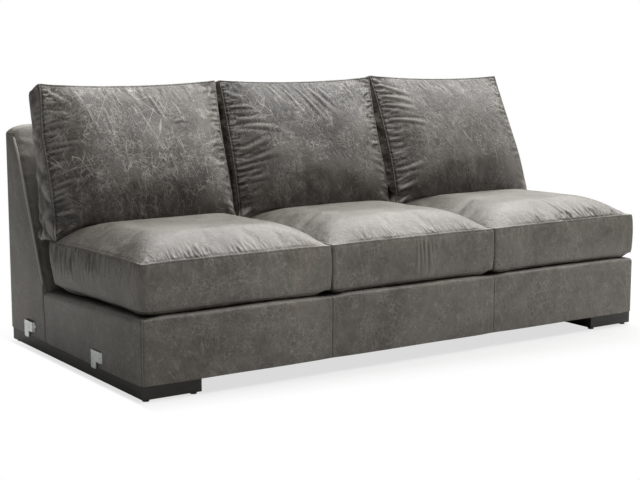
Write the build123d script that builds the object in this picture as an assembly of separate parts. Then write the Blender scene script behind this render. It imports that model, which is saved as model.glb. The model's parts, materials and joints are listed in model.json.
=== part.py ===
from build123d import *
import math
import os

# Armless three-seat leather sofa, one section of a suite.
# Millimetres and degrees. X runs along the sofa, Y from its front to its rear, Z up.
# The origin lies on the floor, under the middle of the sofa.

# ---- driving dimensions: whole sofa ----
seat_count = 3
seat_pitch = 710.0  # width of one seat
depth = 1080.0  # leather front to leather rear
back_top = 800.0  # top of the back frame
seat_edge_top = 263.0  # leather top of the base at its front edge
deck_pitch = 2.4  # fall of the deck towards the rear
back_thickness = 307.0  # at the foot of the inside back
back_foot_rise = 2.0  # that foot's line above the base's front edge
back_lean = 23.6  # inside back, from upright
side_seam_lean = 20.0  # how far the seam between the side panels runs forwards down to its foot

# ---- driving dimensions: plinths, glides, legs ----
glide_height = 8.0
glide_radius = 11.0
glide_inset = 20.0
plinth_height = 44.0
plinth_width = 208.0
plinth_board = 20.0
plinth_end_inset = 6.0
plinth_side_inset = 3.0
leg_size = 46.0
leg_foot_size = 38.0
dust_cloth = 0.8

# ---- driving dimensions: wooden frame ----
board = 22.0
rear_rail_height = 150.0
top_rail_height = 40.0
lower_rail_height = 60.0
lower_rail_rise = 20.0  # above the deck boards
spring_rail_height = 90.0
corner_block_leg = 60.0
corner_block_height = 80.0

# ---- driving dimensions: springs and webbing ----
wire_radius = 2.0
spring_drop = 8.0  # spring rails below the deck boards
springs_per_seat = 4
spring_half_width = 30.0
spring_step = 44.0
spring_bend = 14.0
spring_end_bend = 8.0
clip_length = 18.0
clip_depth = 12.0
clip_floor = 2.0
clip_height = 7.5
straps_per_seat = 4
strap_width = 50.0
strap_thickness = 1.5
strap_end_margin = 8.0

# ---- driving dimensions: upholstery ----
leather = 2.0
padding = 10.0
back_foam = 24.0
base_round = 14.0  # outer radius of the base's top and corner edges
back_round = 16.0  # outer radius of the back's edges
least_round = 3.0  # inner layers with a smaller radius stay sharp
panel_wrap = 5.0  # how far a side or rear panel turns round its edges
front_lip = 60.0  # front border folded over onto the deck
side_lip = 45.0

# ---- driving dimensions: cushions ----
cushion_gap = 0.3  # clearance of a soft cushion from its neighbour
cover_skin = 3.0  # leather with its quilted lining
core_gap = 0.8
seat_rear_gap = 61.0  # rear of the seat cushion to the foot of the inside back
seat_seam_rise = 22.0  # lower seam above the base's front edge
seat_boxing = 151.0
seat_tilt = 1.15
# height from the nearer seam, inset, corner radius, draw-in of the sides between the corners
seat_seam = (0.0, 5.0, 24.0, 4.0)
seat_bulge = (0.0, 0.0, 22.0, 1.5)  # half way up the boxing
seat_underside = [(-40.0, 70.0, 40.0, 0.0), (-28.0, 30.0, 36.0, 1.0), (-12.0, 10.0, 30.0, 3.0)]
seat_crown = [
    (18.0, 15.0, 32.0, 4.0),
    (41.0, 42.0, 50.0, -2.0),
    (57.0, 90.0, 70.0, -8.0),
    (66.0, 160.0, 80.0, -12.0),
    (70.0, 250.0, 60.0, -10.0),
]
back_cushion_reach = 165.0  # foot of its front seam before the foot of the inside back
back_cushion_rise = 39.0  # that foot above the seat cushion's upper seam at the front
back_cushion_lean = 19.2
back_cushion_height = 510.0  # along its lean
back_boxing_foot = 205.0  # front seam to rear seam at the foot
back_boxing_top = 104.0  # and at the top
# depth from the nearer seam, inset at the foot, at the top and at the sides, corner radius, draw-in
back_seam = (0.0, 0.0, 2.0, 5.0, 14.0, 6.0)
back_bulge = (0.0, -6.0, 6.0, 0.0, 16.0, 5.0)  # half way through the boxing
back_front_crown = [
    (-56.0, 190.0, 200.0, 250.0, 50.0, -8.0),
    (-51.0, 110.0, 130.0, 150.0, 70.0, -10.0),
    (-38.0, 45.0, 62.0, 75.0, 50.0, -4.0),
    (-18.0, 10.0, 20.0, 24.0, 30.0, 3.0),
]
back_rear_crown = [
    (22.0, 18.0, 26.0, 28.0, 30.0, 3.0),
    (50.0, 56.0, 78.0, 84.0, 50.0, -4.0),
    (70.0, 110.0, 150.0, 160.0, 70.0, -10.0),
    (80.0, 170.0, 220.0, 250.0, 50.0, -8.0),
]

# ---- driving dimensions: zips ----
zip_length = 560.0
tape_width = 26.0
tape_thickness = 1.2
teeth_width = 5.0
teeth_thickness = 1.5
back_zip_gap = 42.4  # behind the seat cushion's rear, on the back cushion's underside
slider_length = 11.0
slider_width = 9.0
slider_wall = 1.6
slider_gap = 0.2
pull_length = 26.0
pull_width = 6.0
pull_thickness = 1.4

# ---- driving dimensions: joining brackets ----
bracket_length = 106.0
bracket_sheet = 2.5
bracket_standoff = 10.0
foot_length = 13.0
joggle_length = 5.0
hook_top = 108.0
hook_strap_bottom = 72.0
tongue_bottom = 48.0
tongue_width = 38.0
tongue_corner = 6.0
strap_top = 70.0
strap_bottom = 55.0
front_bracket_start = 263.0  # front of the base to the front bracket
rear_bracket_end = 138.0  # rear bracket to the rear of the back
screw_height = 94.0
screw_radius = 2.0
screw_head_radius = 4.5
screw_head_height = 2.0
screw_length = 30.0
screw_clearance = 0.1

# ---- worked out from the driving dimensions ----
width = seat_count * seat_pitch
half_width = width / 2
front = -depth / 2
rear = depth / 2
plinth_top = glide_height + plinth_height
base_z = plinth_top + dust_cloth
back_foot = depth - back_thickness
back_foot_height = seat_edge_top + back_foot_rise
side_seam_foot = back_foot - side_seam_lean
wall = leather + padding
wood_side = half_width - wall
wood_front = front + wall
wood_rear = rear - wall
lean_stretch = 1 / math.cos(math.radians(back_lean))
wood_inset = leather + back_foam + strap_thickness
post_top = back_top - wall - top_rail_height
rear_rail_top = base_z + rear_rail_height
seat_centers = [(i - (seat_count - 1) / 2) * seat_pitch for i in range(seat_count)]
seat_joints = [(i - seat_count / 2) * seat_pitch for i in range(1, seat_count)]
seat_names = ["left", "middle", "right"]


deck_slope = math.tan(math.radians(deck_pitch))
seam_slope = (back_foot - side_seam_foot) / (back_foot_height - base_z)


def deck_z(y, inset):
    """Height of the deck plane, drawn down by inset."""
    return seat_edge_top - (y - front) * deck_slope - inset / math.cos(math.radians(deck_pitch))


def lean_y(z, inset):
    """Y of the inside back plane at a height, drawn back by inset."""
    rise = z - back_foot_height
    return front + back_foot + rise * math.tan(math.radians(back_lean)) + inset * lean_stretch


def seam_y(z):
    """Y of the seam between the seat side panel and the back side panel."""
    return front + side_seam_foot + (z - base_z) * seam_slope


def deck_end_z(inset):
    """Height at which the deck plane, drawn down by inset, meets that seam."""
    return deck_z(seam_y(0), inset) / (1 + deck_slope * seam_slope)


deck_rear = deck_end_z(0)
board_rear = deck_end_z(wall)


def slab_x(points, low, high):
    """Solid of a (y, z) outline between two X planes."""
    face = Face(Wire.make_polygon([(low, y, z) for y, z in points], close=True))
    return extrude(face, amount=high - low, dir=(1, 0, 0))


def slab_z(points, low, high):
    """Solid of an (x, y) outline between two heights."""
    face = Face(Wire.make_polygon([(x, y, low) for x, y in points], close=True))
    return extrude(face, amount=high - low, dir=(0, 0, 1))


def block(x0, x1, y0, y1, z0, z1):
    """Axis-aligned box from its corners."""
    return Pos((x0 + x1) / 2, (y0 + y1) / 2, (z0 + z1) / 2) * Box(x1 - x0, y1 - y0, z1 - z0)


def rounded(solid, wanted, radius):
    """The solid with the edges that pass a test of their centre rounded."""
    edges = [edge for edge in solid.edges() if wanted(edge.center())]
    return fillet(edges, radius) if radius > least_round else solid


def beyond(point, turn):
    """Everything above a plane through a (y, z) point, level when turn is 0 and turned about X."""
    reach = 2 * width
    return Location((0, *point), (turn, 0, 0)) * Box(
        reach, reach, reach, align=(Align.CENTER, Align.CENTER, Align.MIN)
    )


def below(point, turn):
    """Everything under the same plane."""
    return beyond(point, turn + 180)


nodes = {}


# ---- plinths, glides, legs ----
def plinth(outer, inner):
    """Four mitred boards round an open middle; outer and inner are the X of its long faces."""
    near, far = front + plinth_end_inset, rear - plinth_end_inset
    step = plinth_board if inner > outer else -plinth_board
    corners = [(outer, near), (inner, near), (inner, far), (outer, far)]
    drawn = [
        (outer + step, near + plinth_board),
        (inner - step, near + plinth_board),
        (inner - step, far - plinth_board),
        (outer + step, far - plinth_board),
    ]
    boards = []
    for i in range(4):
        j = (i + 1) % 4
        boards.append(slab_z([corners[i], corners[j], drawn[j], drawn[i]], glide_height, plinth_top))
    return boards


plinth_outer = half_width - plinth_side_inset
plinth_inner = plinth_outer - plinth_width
nodes["plinth_left"] = plinth(-plinth_outer, -plinth_inner)
nodes["plinth_right"] = plinth(plinth_outer, plinth_inner)

glide_y = rear - plinth_end_inset - glide_inset
nodes["glides"] = [
    Pos(side * x, end * glide_y, glide_height / 2) * Cylinder(glide_radius, glide_height)
    for side in (-1, 1)
    for end in (-1, 1)
    for x in (plinth_outer - glide_inset, plinth_inner + glide_inset)
]


def support_leg(x):
    """Short tapered leg under a cross rail."""
    foot = Pos(x, 0, 0) * Rectangle(leg_foot_size, leg_foot_size)
    head = Pos(x, 0, plinth_top) * Rectangle(leg_size, leg_size)
    return loft([foot.face(), head.face()], ruled=True)


nodes["support_legs"] = [support_leg(x) for x in seat_joints]
nodes["dust_cover"] = [
    block(
        -half_width + leather,
        half_width - leather,
        front + leather,
        rear - leather,
        plinth_top,
        base_z,
    )
]


# ---- upholstered blocks, one inside the other ----
def base_block(inset):
    """Block of the seat base with its front, sides and top drawn in by inset."""
    near = front + inset
    top = deck_end_z(inset)
    outline = [
        (near, base_z),
        (near, deck_z(near, inset)),
        (seam_y(top), top),
        (seam_y(base_z), base_z),
    ]
    solid = slab_x(outline, -half_width + inset, half_width - inset)
    side = half_width - inset - 1

    def outer_edge(center):
        at_front = abs(center.Y - near) < 1 and center.Z > base_z + 1
        at_side = abs(center.X) > side and center.Z > deck_rear - inset and center.Y < seam_y(top) - 1
        return at_front or at_side

    return rounded(solid, outer_edge, base_round - inset)


def back_block(inset):
    """Block of the back with its front above the deck, sides, top and rear drawn in by inset."""
    shift = inset * lean_stretch
    top = back_top - inset
    outline = [
        (seam_y(base_z) + shift, base_z),
        (lean_y(back_foot_height, inset), back_foot_height),
        (lean_y(top, inset), top),
        (rear - inset, top),
        (rear - inset, base_z),
    ]
    solid = slab_x(outline, -half_width + inset, half_width - inset)

    def outer_edge(center):
        return center.Z > back_foot_height + 1

    return rounded(solid, outer_edge, back_round - inset)


# ---- wooden frame ----
deck_front_board = deck_z(wood_front + board, wall)
nodes["front_rail"] = [
    slab_x(
        [
            (wood_front, base_z),
            (wood_front, deck_z(wood_front, wall) - spring_drop),
            (wood_front + board, deck_front_board - spring_drop),
            (wood_front + board, base_z),
        ],
        -wood_side,
        wood_side,
    )
]
nodes["rear_rail"] = [
    block(-wood_side, wood_side, wood_rear - board, wood_rear, base_z, rear_rail_top)
]

side_rail_outline = [
    (wood_front + board, base_z),
    (wood_front + board, deck_front_board),
    (seam_y(board_rear), board_rear),
    (seam_y(base_z), base_z),
]
nodes["side_rail_left"] = [slab_x(side_rail_outline, -wood_side, -wood_side + board)]
nodes["side_rail_right"] = [slab_x(side_rail_outline, wood_side - board, wood_side)]

cross_rail_outline = [
    (wood_front + board, base_z),
    (wood_front + board, deck_front_board),
    (seam_y(board_rear), board_rear),
    (seam_y(board_rear), rear_rail_top),
    (wood_rear - board, rear_rail_top),
    (wood_rear - board, base_z),
]
nodes["cross_rails"] = [
    slab_x(cross_rail_outline, x - board / 2, x + board / 2) for x in seat_joints
]

lower_rail_low = board_rear + lower_rail_rise
lower_rail_high = lower_rail_low + lower_rail_height
lower_rail = slab_x(
    [
        (lean_y(lower_rail_low, wood_inset), lower_rail_low),
        (lean_y(lower_rail_high, wood_inset), lower_rail_high),
        (lean_y(lower_rail_high, wood_inset + board), lower_rail_high),
        (lean_y(lower_rail_low, wood_inset + board), lower_rail_low),
    ],
    -wood_side,
    wood_side,
)
nodes["back_lower_rail"] = [lower_rail]
nodes["back_top_rail"] = [
    slab_x(
        [
            (lean_y(post_top, wood_inset), post_top),
            (lean_y(back_top - wall, wood_inset), back_top - wall),
            (wood_rear, back_top - wall),
            (wood_rear, post_top),
        ],
        -wood_side,
        wood_side,
    )
]

post_outline = [
    (seam_y(base_z), base_z),
    (seam_y(board_rear), board_rear),
    (lean_y(board_rear, wood_inset), board_rear),
    (lean_y(post_top, wood_inset), post_top),
    (wood_rear, post_top),
    (wood_rear, rear_rail_top),
    (wood_rear - board, rear_rail_top),
    (wood_rear - board, base_z),
]


def post(x0, x1):
    """Plywood post of the back, notched for the lower rail and standing round the rear rail."""
    return slab_x(post_outline, x0, x1) - lower_rail


nodes["back_post_left"] = [post(-wood_side, -wood_side + board)]
nodes["back_post_right"] = [post(wood_side - board, wood_side)]
nodes["middle_back_posts"] = []
for x in seat_joints:
    outer = math.copysign(board / 2, x)
    nodes["middle_back_posts"].append(
        post(min(x + outer, x + 3 * outer), max(x + outer, x + 3 * outer))
    )

# X limits of each bay between the side rails and the cross rails
bay_lows = [-wood_side + board] + [x + board / 2 for x in seat_joints]
bay_highs = [x - board / 2 for x in seat_joints] + [wood_side - board]
bays = list(zip(bay_lows, bay_highs))
spring_rail_rear = seam_y(base_z)
spring_rail_front = spring_rail_rear - board


def spring_rail_top(y):
    return deck_z(y, wall) - spring_drop


nodes["spring_rail"] = [
    slab_x(
        [
            (spring_rail_front, spring_rail_top(spring_rail_front) - spring_rail_height),
            (spring_rail_front, spring_rail_top(spring_rail_front)),
            (spring_rail_rear, spring_rail_top(spring_rail_rear)),
            (spring_rail_rear, spring_rail_top(spring_rail_front) - spring_rail_height),
        ],
        low,
        high,
    )
    for low, high in bays
]


def corner_block(side, end):
    """Triangular block glued into a corner of the base."""
    x = side * (wood_side - board)
    y = end * (wood_rear - board)
    leg_x, leg_y = side * corner_block_leg, end * corner_block_leg
    return slab_z([(x, y), (x - leg_x, y), (x, y - leg_y)], base_z, base_z + corner_block_height)


nodes["corner_blocks"] = [corner_block(side, end) for side in (-1, 1) for end in (-1, 1)]


# ---- springs and webbing ----
spring_start = wood_front + board / 2
spring_end = spring_rail_rear - board / 2
wire_height = clip_floor + wire_radius
spring_run = (spring_end - spring_start) / math.cos(math.radians(deck_pitch))
spring_waves = 2 * round(spring_run / spring_step / 2) + 1


def spring_place(x):
    """Where a spring's plane lies: on the front rail's top, falling with the deck."""
    return Location((x, spring_start, spring_rail_top(spring_start)), (-deck_pitch, 0, 0))


def spring_form():
    """Zigzag wire from the front rail to the spring rail, flat, its ends along the rails."""
    a = spring_half_width
    step = spring_run / spring_waves
    points = [(-a, 0)] + [(a if i % 2 == 0 else -a, i * step) for i in range(spring_waves + 1)]
    points.append((points[-1][0] * -1, spring_run))
    points = [(x, y, wire_height) for x, y in points]
    radii = [spring_end_bend] + [spring_bend] * (spring_waves - 1) + [spring_end_bend]
    path = FilletPolyline(*points, radius=radii)
    section = Plane(origin=path @ 0, z_dir=path % 0) * Circle(wire_radius)
    return sweep(section, path=path)


def clip_form():
    """Spring clip on its rail, with a bore for the wire along X."""
    body = Box(clip_length, clip_depth, clip_height, align=(Align.CENTER, Align.CENTER, Align.MIN))
    bore = Pos(0, 0, wire_height) * Rot(0, 90, 0) * Cylinder(wire_radius + 0.1, 2 * clip_length)
    return body - bore


spring = spring_form()
clip = clip_form()
clip_shift = spring_half_width - clip_length / 2
nodes["seat_springs"] = []
nodes["spring_clips"] = []
for low, high in bays:
    for i in range(springs_per_seat):
        place = spring_place(low + (high - low) * (i + 0.5) / springs_per_seat)
        nodes["seat_springs"].append(place * spring)
        nodes["spring_clips"].append(place * Pos(-clip_shift, 0, 0) * clip)
        nodes["spring_clips"].append(place * Pos(clip_shift, spring_run, 0) * clip)

strap_low = lower_rail_low + strap_end_margin
strap_high = back_top - wall - strap_end_margin
strap_front = leather + back_foam
strap_outline = [
    (lean_y(strap_low, strap_front), strap_low),
    (lean_y(strap_high, strap_front), strap_high),
    (lean_y(strap_high, wood_inset), strap_high),
    (lean_y(strap_low, wood_inset), strap_low),
]
nodes["back_webbing"] = []
for low, high in bays:
    for i in range(straps_per_seat):
        x = low + (high - low) * (i + 0.5) / straps_per_seat
        nodes["back_webbing"].append(slab_x(strap_outline, x - strap_width / 2, x + strap_width / 2))

# ---- padding and deck ----
base_inner = base_block(wall)
base_pad = base_block(leather) - base_inner
deck_region = block(-wood_side, wood_side, wood_front, rear, base_z, back_top)
nodes["seat_deck"] = (base_pad & deck_region).solids()
nodes["base_padding"] = (base_pad - deck_region).solids()

back_hollow = slab_x(
    [
        (seam_y(base_z) - wall, base_z - wall),
        (seam_y(deck_rear) - wall, deck_rear),
        (lean_y(deck_rear, strap_front), deck_rear),
        (lean_y(back_top - wall, strap_front), back_top - wall),
        (wood_rear, back_top - wall),
        (wood_rear, base_z - wall),
    ],
    -wood_side,
    wood_side,
)
nodes["back_padding"] = (back_block(leather) - back_hollow).solids()

# ---- leather ----
base_skin = base_block(0) - base_block(leather)
side_edge = half_width - panel_wrap
base_sides = []
for side in (-1, 1):
    wall_part = block(*sorted((side * side_edge, side * (half_width + 1))), front - 1, rear, 0, back_top)
    lip_part = block(
        *sorted((side * (half_width - side_lip), side * (half_width + 1))),
        front + front_lip,
        rear,
        base_z + wall,
        back_top,
    )
    base_sides.append(wall_part + lip_part)
nodes["seat_side_panel_left"] = (base_skin & base_sides[0]).solids()
nodes["seat_side_panel_right"] = (base_skin & base_sides[1]).solids()

panel_edges = [-side_edge] + seat_joints + [side_edge]
for name, low, high in zip(seat_names, panel_edges, panel_edges[1:]):
    region = block(low, high, front - 1, front + front_lip, 0, back_top)
    nodes["front_panel_" + name] = (base_skin & region).solids()

back_skin = back_block(0) - back_block(leather)
for side, name in ((-1, "left"), (1, "right")):
    region = block(*sorted((side * side_edge, side * (half_width + 1))), front, rear + 1, 0, back_top + 1)
    nodes["back_side_panel_" + name] = (back_skin & region).solids()
middle = block(-side_edge, side_edge, front, rear - panel_wrap, board_rear, back_top + 1)
nodes["inside_back_cover"] = (back_skin & middle).solids()
rear_slice = block(-side_edge, side_edge, rear - panel_wrap, rear + 1, 0, back_top + 1)
nodes["outside_back_panel"] = (back_skin & rear_slice).solids()


# ---- cushions ----
def curve(start, end, middle):
    """Side of an outline through its middle point, straight where that lies on the line."""
    chord = (Vector(*start) + Vector(*end)) / 2
    if (Vector(*middle) - chord).length < 0.01:
        return Line(start, end)
    return ThreePointArc(start, middle, end)


def outline(half, near, far, corner, draw_side, draw_near, draw_far):
    """Flat cushion outline: four sides drawn in between four round corners."""
    k = corner * (1 - math.sqrt(0.5))
    mid = (near + far) / 2
    return Face(
        Wire(
            [
                curve((-half + corner, near), (half - corner, near), (0, near + draw_near)),
                ThreePointArc((half - corner, near), (half - k, near + k), (half, near + corner)),
                curve((half, near + corner), (half, far - corner), (half - draw_side, mid)),
                ThreePointArc((half, far - corner), (half - k, far - k), (half - corner, far)),
                curve((half - corner, far), (-half + corner, far), (0, far - draw_far)),
                ThreePointArc((-half + corner, far), (-half + k, far - k), (-half, far - corner)),
                curve((-half, far - corner), (-half, near + corner), (-half + draw_side, mid)),
                ThreePointArc((-half, near + corner), (-half + k, near + k), (-half + corner, near)),
            ]
        )
    )


cushion_half = seat_pitch / 2 - cushion_gap
seat_cushion_depth = back_foot - seat_rear_gap
seat_lower_seam = seat_edge_top + seat_seam_rise
back_cushion_foot = back_foot - back_cushion_reach
back_cushion_seat = seat_lower_seam + seat_boxing + back_cushion_rise
seat_place = Location((0, front, seat_lower_seam), (-seat_tilt, 0, 0))
back_place = Location((0, front + back_cushion_foot, back_cushion_seat), (-back_cushion_lean, 0, 0))
contact = (front + back_cushion_foot, back_cushion_seat)


def shifted(point, turn, distance):
    """A (y, z) point moved along the normal of a plane turned about X."""
    angle = math.radians(turn)
    return (point[0] - distance * math.sin(angle), point[1] + distance * math.cos(angle))


def seat_section(height, profile, skin, far_inset):
    """Level outline of a seat cushion, drawn in by skin; the far side has an inset of its own."""
    inset, corner, draw = profile
    far_draw = draw if far_inset else 0
    face = outline(
        cushion_half - inset - skin,
        inset + skin,
        seat_cushion_depth - far_inset - skin,
        corner,
        draw,
        draw,
        far_draw,
    )
    return Pos(0, 0, height) * face


def seat_form(skin):
    """Seat cushion at the middle seat, drawn in by skin, flat on the deck and under the back cushion."""
    low_seam = seat_section(skin, seat_seam[1:], skin, 0)
    bulge = seat_section(seat_boxing / 2, seat_bulge[1:], skin, 0)
    high_seam = seat_section(seat_boxing - skin, seat_seam[1:], skin, 0)
    underside = [seat_section(z + skin, rest, skin, rest[0]) for z, *rest in seat_underside]
    crown = [seat_section(seat_boxing + z - skin, rest, skin, rest[0]) for z, *rest in seat_crown]
    form = loft(underside + [low_seam]) + loft([low_seam, bulge, high_seam]) + loft([high_seam] + crown)
    form = seat_place * form
    deck_point = shifted((front, deck_z(front, 0)), -deck_pitch, cushion_gap + skin)
    contact_point = shifted(contact, -back_cushion_lean, -cushion_gap / 2 - skin)
    return form - below(deck_point, -deck_pitch) - beyond(contact_point, -back_cushion_lean)


def back_section(foot, top, profile, skin):
    """Outline of a back cushion on a plane through given depths at its foot and its top."""
    foot_inset, top_inset, side_inset, corner, draw = profile
    face = outline(
        cushion_half - side_inset - skin,
        foot_inset + skin,
        back_cushion_height - top_inset - skin,
        corner,
        draw,
        0,
        draw,
    )
    return Plane(origin=(0, foot, 0), x_dir=(1, 0, 0), z_dir=(0, -back_cushion_height, top - foot)) * face


def back_form(skin):
    """Back cushion at the middle seat, drawn in by skin, flat on the seat and on the inside back."""
    foot, top = back_boxing_foot, back_boxing_top
    near_seam = back_section(skin, skin, back_seam[1:], skin)
    bulge = back_section(foot / 2, top / 2, back_bulge[1:], skin)
    far_seam = back_section(foot - skin, top - skin, back_seam[1:], skin)
    near_crown = [back_section(y + skin, y + skin, rest, skin) for y, *rest in back_front_crown]
    far_crown = [back_section(foot + y - skin, top + y - skin, rest, skin) for y, *rest in back_rear_crown]
    form = loft(near_crown + [near_seam]) + loft([near_seam, bulge, far_seam]) + loft([far_seam] + far_crown)
    form = back_place * form
    contact_point = shifted(contact, -back_cushion_lean, cushion_gap / 2 + skin)
    back_point = (lean_y(back_foot_height, -cushion_gap - skin), back_foot_height)
    return form - below(contact_point, -back_cushion_lean) - below(back_point, 90 - back_lean)


seat_outer = seat_form(0)
seat_cover = seat_outer - seat_form(cover_skin)
seat_core = seat_form(cover_skin + core_gap)
back_outer = back_form(0)
back_cover = back_outer - back_form(cover_skin)
back_fill = back_form(cover_skin + core_gap)


# ---- zips ----
def zip_tape(sunk):
    """Closed zip lying on the XY plane along X, its tape sunk below the plane."""
    tape = block(
        -zip_length / 2, zip_length / 2, -tape_width / 2, tape_width / 2, -sunk, tape_thickness
    )
    teeth = block(
        -zip_length / 2,
        zip_length / 2,
        -teeth_width / 2,
        teeth_width / 2,
        0,
        tape_thickness + teeth_thickness,
    )
    return tape + teeth


def zip_slider():
    """Slider astride the teeth at one end of the zip, with its pull tab lying towards +Y."""
    floor = tape_thickness + slider_gap
    roof = tape_thickness + teeth_thickness + slider_gap
    body = block(0, slider_length, -slider_width / 2, slider_width / 2, floor, roof + slider_wall)
    groove_half = teeth_width / 2 + slider_gap
    body -= block(-1, slider_length + 1, -groove_half, groove_half, floor - 1, roof)
    pull_low = roof + slider_wall
    middle_x = slider_length / 2
    tab = block(
        middle_x - pull_width / 2,
        middle_x + pull_width / 2,
        0,
        pull_length,
        pull_low,
        pull_low + pull_thickness,
    )
    end = Pos(middle_x, pull_length, pull_low + pull_thickness / 2) * Cylinder(
        pull_width / 2, pull_thickness
    )
    return Pos(-zip_length / 2 + slider_length, 0, 0) * (body + tab + end)


# the seat's zip lies across its rear boxing, the back cushion's across its underside
back_zip_run = seat_cushion_depth + back_zip_gap - back_cushion_foot
back_zip_depth = back_zip_run / math.cos(math.radians(back_cushion_lean))
seat_zip_place = seat_place * Location((0, seat_cushion_depth, seat_boxing / 2), (-90, 0, 0))
back_zip_place = back_place * Location((0, back_zip_depth, cushion_gap / 2), (180, 0, 0))
seat_zip = seat_zip_place * zip_tape(tape_thickness) - seat_outer
seat_slider = seat_zip_place * zip_slider()
back_zip = back_zip_place * zip_tape(0)
back_slider = back_zip_place * zip_slider()

for name, x in zip(seat_names, seat_centers):
    nodes["seat_cover_" + name] = (Pos(x, 0, 0) * seat_cover).solids()
    nodes["seat_core_" + name] = (Pos(x, 0, 0) * seat_core).solids()
    nodes["seat_zip_" + name] = (Pos(x, 0, 0) * seat_zip).solids()
    nodes["seat_zip_slider_" + name] = (Pos(x, 0, 0) * seat_slider).solids()
    nodes["back_cover_" + name] = (Pos(x, 0, 0) * back_cover).solids()
    nodes["back_fill_" + name] = (Pos(x, 0, 0) * back_fill).solids()
    nodes["back_zip_" + name] = (Pos(x, 0, 0) * back_zip).solids()
    nodes["back_zip_slider_" + name] = (Pos(x, 0, 0) * back_slider).solids()


# ---- joining brackets ----
def bracket_strip(low, high):
    """Bent strip standing off the side in its middle: X outwards, Y along the sofa from its rear end."""
    inner, outer = bracket_standoff, bracket_standoff + bracket_sheet
    far = bracket_length - foot_length
    return slab_z(
        [
            (0, 0),
            (0, foot_length),
            (inner, foot_length + joggle_length),
            (inner, far - joggle_length),
            (0, far),
            (0, bracket_length),
            (bracket_sheet, bracket_length),
            (bracket_sheet, far),
            (outer, far - joggle_length),
            (outer, foot_length + joggle_length),
            (bracket_sheet, foot_length),
            (bracket_sheet, 0),
        ],
        low,
        high,
    )


def screw_cylinder(y, start, end, radius):
    """Round bar along X at screw height."""
    return (
        Pos((start + end) / 2, y, screw_height) * Rot(0, 90, 0) * Cylinder(radius, end - start)
    )


screw_ys = (foot_length / 2, bracket_length - foot_length / 2)


def with_screw_holes(bracket):
    for y in screw_ys:
        bracket -= screw_cylinder(y, -1, bracket_sheet + 1, screw_radius + screw_clearance)
    return bracket


def hook_bracket():
    """Hook whose tongue drops behind the next section's strap."""
    inner, outer = bracket_standoff, bracket_standoff + bracket_sheet
    tongue_start = foot_length + joggle_length
    tongue = block(
        inner, outer, tongue_start, tongue_start + tongue_width, tongue_bottom, hook_strap_bottom
    )
    tongue = rounded(
        tongue,
        lambda c: abs(c.Z - tongue_bottom) < 1 and abs(c.X - (inner + outer) / 2) < 0.1,
        tongue_corner,
    )
    return with_screw_holes(bracket_strip(hook_strap_bottom, hook_top) + tongue)


def receiver_bracket():
    """Strap that takes the tongue, with taller feet for its screws."""
    strip = bracket_strip(strap_bottom, strap_top)
    for start in (0, bracket_length - foot_length):
        strip += block(0, bracket_sheet, start, start + foot_length, strap_bottom, hook_top)
    return with_screw_holes(strip)


def screws(radius, head):
    """Both screws of a bracket; with a head, or as the holes that they need."""
    bars = []
    for y in screw_ys:
        bar = screw_cylinder(y, bracket_sheet - screw_length, bracket_sheet, radius)
        if head:
            bar += screw_cylinder(y, bracket_sheet, bracket_sheet + screw_head_height, screw_head_radius)
        bars.append(bar)
    return bars


# a bracket's own X and Y point outwards and forwards on the left side
bracket_rears = (front + front_bracket_start + bracket_length, rear - rear_bracket_end)
left_places = [Location((-half_width, y, 0), (0, 0, 180)) for y in bracket_rears]
hook = hook_bracket()
receiver = receiver_bracket()
nodes["hook_brackets"] = [place * hook for place in left_places]
nodes["receiver_brackets"] = [mirror(place * receiver, Plane.YZ) for place in left_places]
left_screws = [place * bar for place in left_places for bar in screws(screw_radius, True)]
nodes["bracket_screws"] = left_screws + [mirror(bar, Plane.YZ) for bar in left_screws]

# each bracket's screws pass through a panel and the padding into a board
drilled = [("seat_side_panel_", "side_rail_", "base_padding"), ("back_side_panel_", "back_post_", "back_padding")]
for place, (panel, timber, pad) in zip(left_places, drilled):
    for bar in screws(screw_radius + screw_clearance, False):
        bore = place * bar
        for hole, side in ((bore, "left"), (mirror(bore, Plane.YZ), "right")):
            for name in (panel + side, timber + side, pad):
                nodes[name] = [part - hole for part in nodes[name]]

# ---- one file per sub-part ----
os.makedirs("parts", exist_ok=True)
for name, pieces in nodes.items():
    solids = [solid for piece in pieces for solid in piece.solids()]
    export_step(Compound(solids), "parts/" + name + ".step")
    print(name, len(solids), round(sum(solid.volume for solid in solids)))
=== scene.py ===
import bmesh
import bpy
import json
import math
import numpy as np
from mathutils import Matrix, Vector


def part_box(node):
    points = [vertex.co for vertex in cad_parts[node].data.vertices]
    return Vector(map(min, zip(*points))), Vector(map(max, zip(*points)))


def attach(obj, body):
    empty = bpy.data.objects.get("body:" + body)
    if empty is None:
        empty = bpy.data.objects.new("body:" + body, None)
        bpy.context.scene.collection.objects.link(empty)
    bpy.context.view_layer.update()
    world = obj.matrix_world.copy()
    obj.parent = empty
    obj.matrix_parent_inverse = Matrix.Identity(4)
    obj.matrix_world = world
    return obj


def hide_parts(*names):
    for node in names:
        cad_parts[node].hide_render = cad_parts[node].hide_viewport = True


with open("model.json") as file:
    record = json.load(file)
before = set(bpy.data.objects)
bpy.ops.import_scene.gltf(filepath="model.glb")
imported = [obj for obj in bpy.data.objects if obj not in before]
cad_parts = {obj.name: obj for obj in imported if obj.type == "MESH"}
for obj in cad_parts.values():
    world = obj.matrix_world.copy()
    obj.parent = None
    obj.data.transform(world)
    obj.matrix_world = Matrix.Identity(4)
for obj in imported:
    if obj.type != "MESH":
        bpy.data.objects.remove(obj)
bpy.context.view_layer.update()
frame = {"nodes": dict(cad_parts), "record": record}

# The dressed sofa, built around the fixed frame. Sizes are millimetres and degrees in the part's
# frame (X along the sofa, Y from its front to its rear, Z up); meshes are written in metres.
MM = 0.001
NAMES = ("left", "middle", "right")

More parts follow.
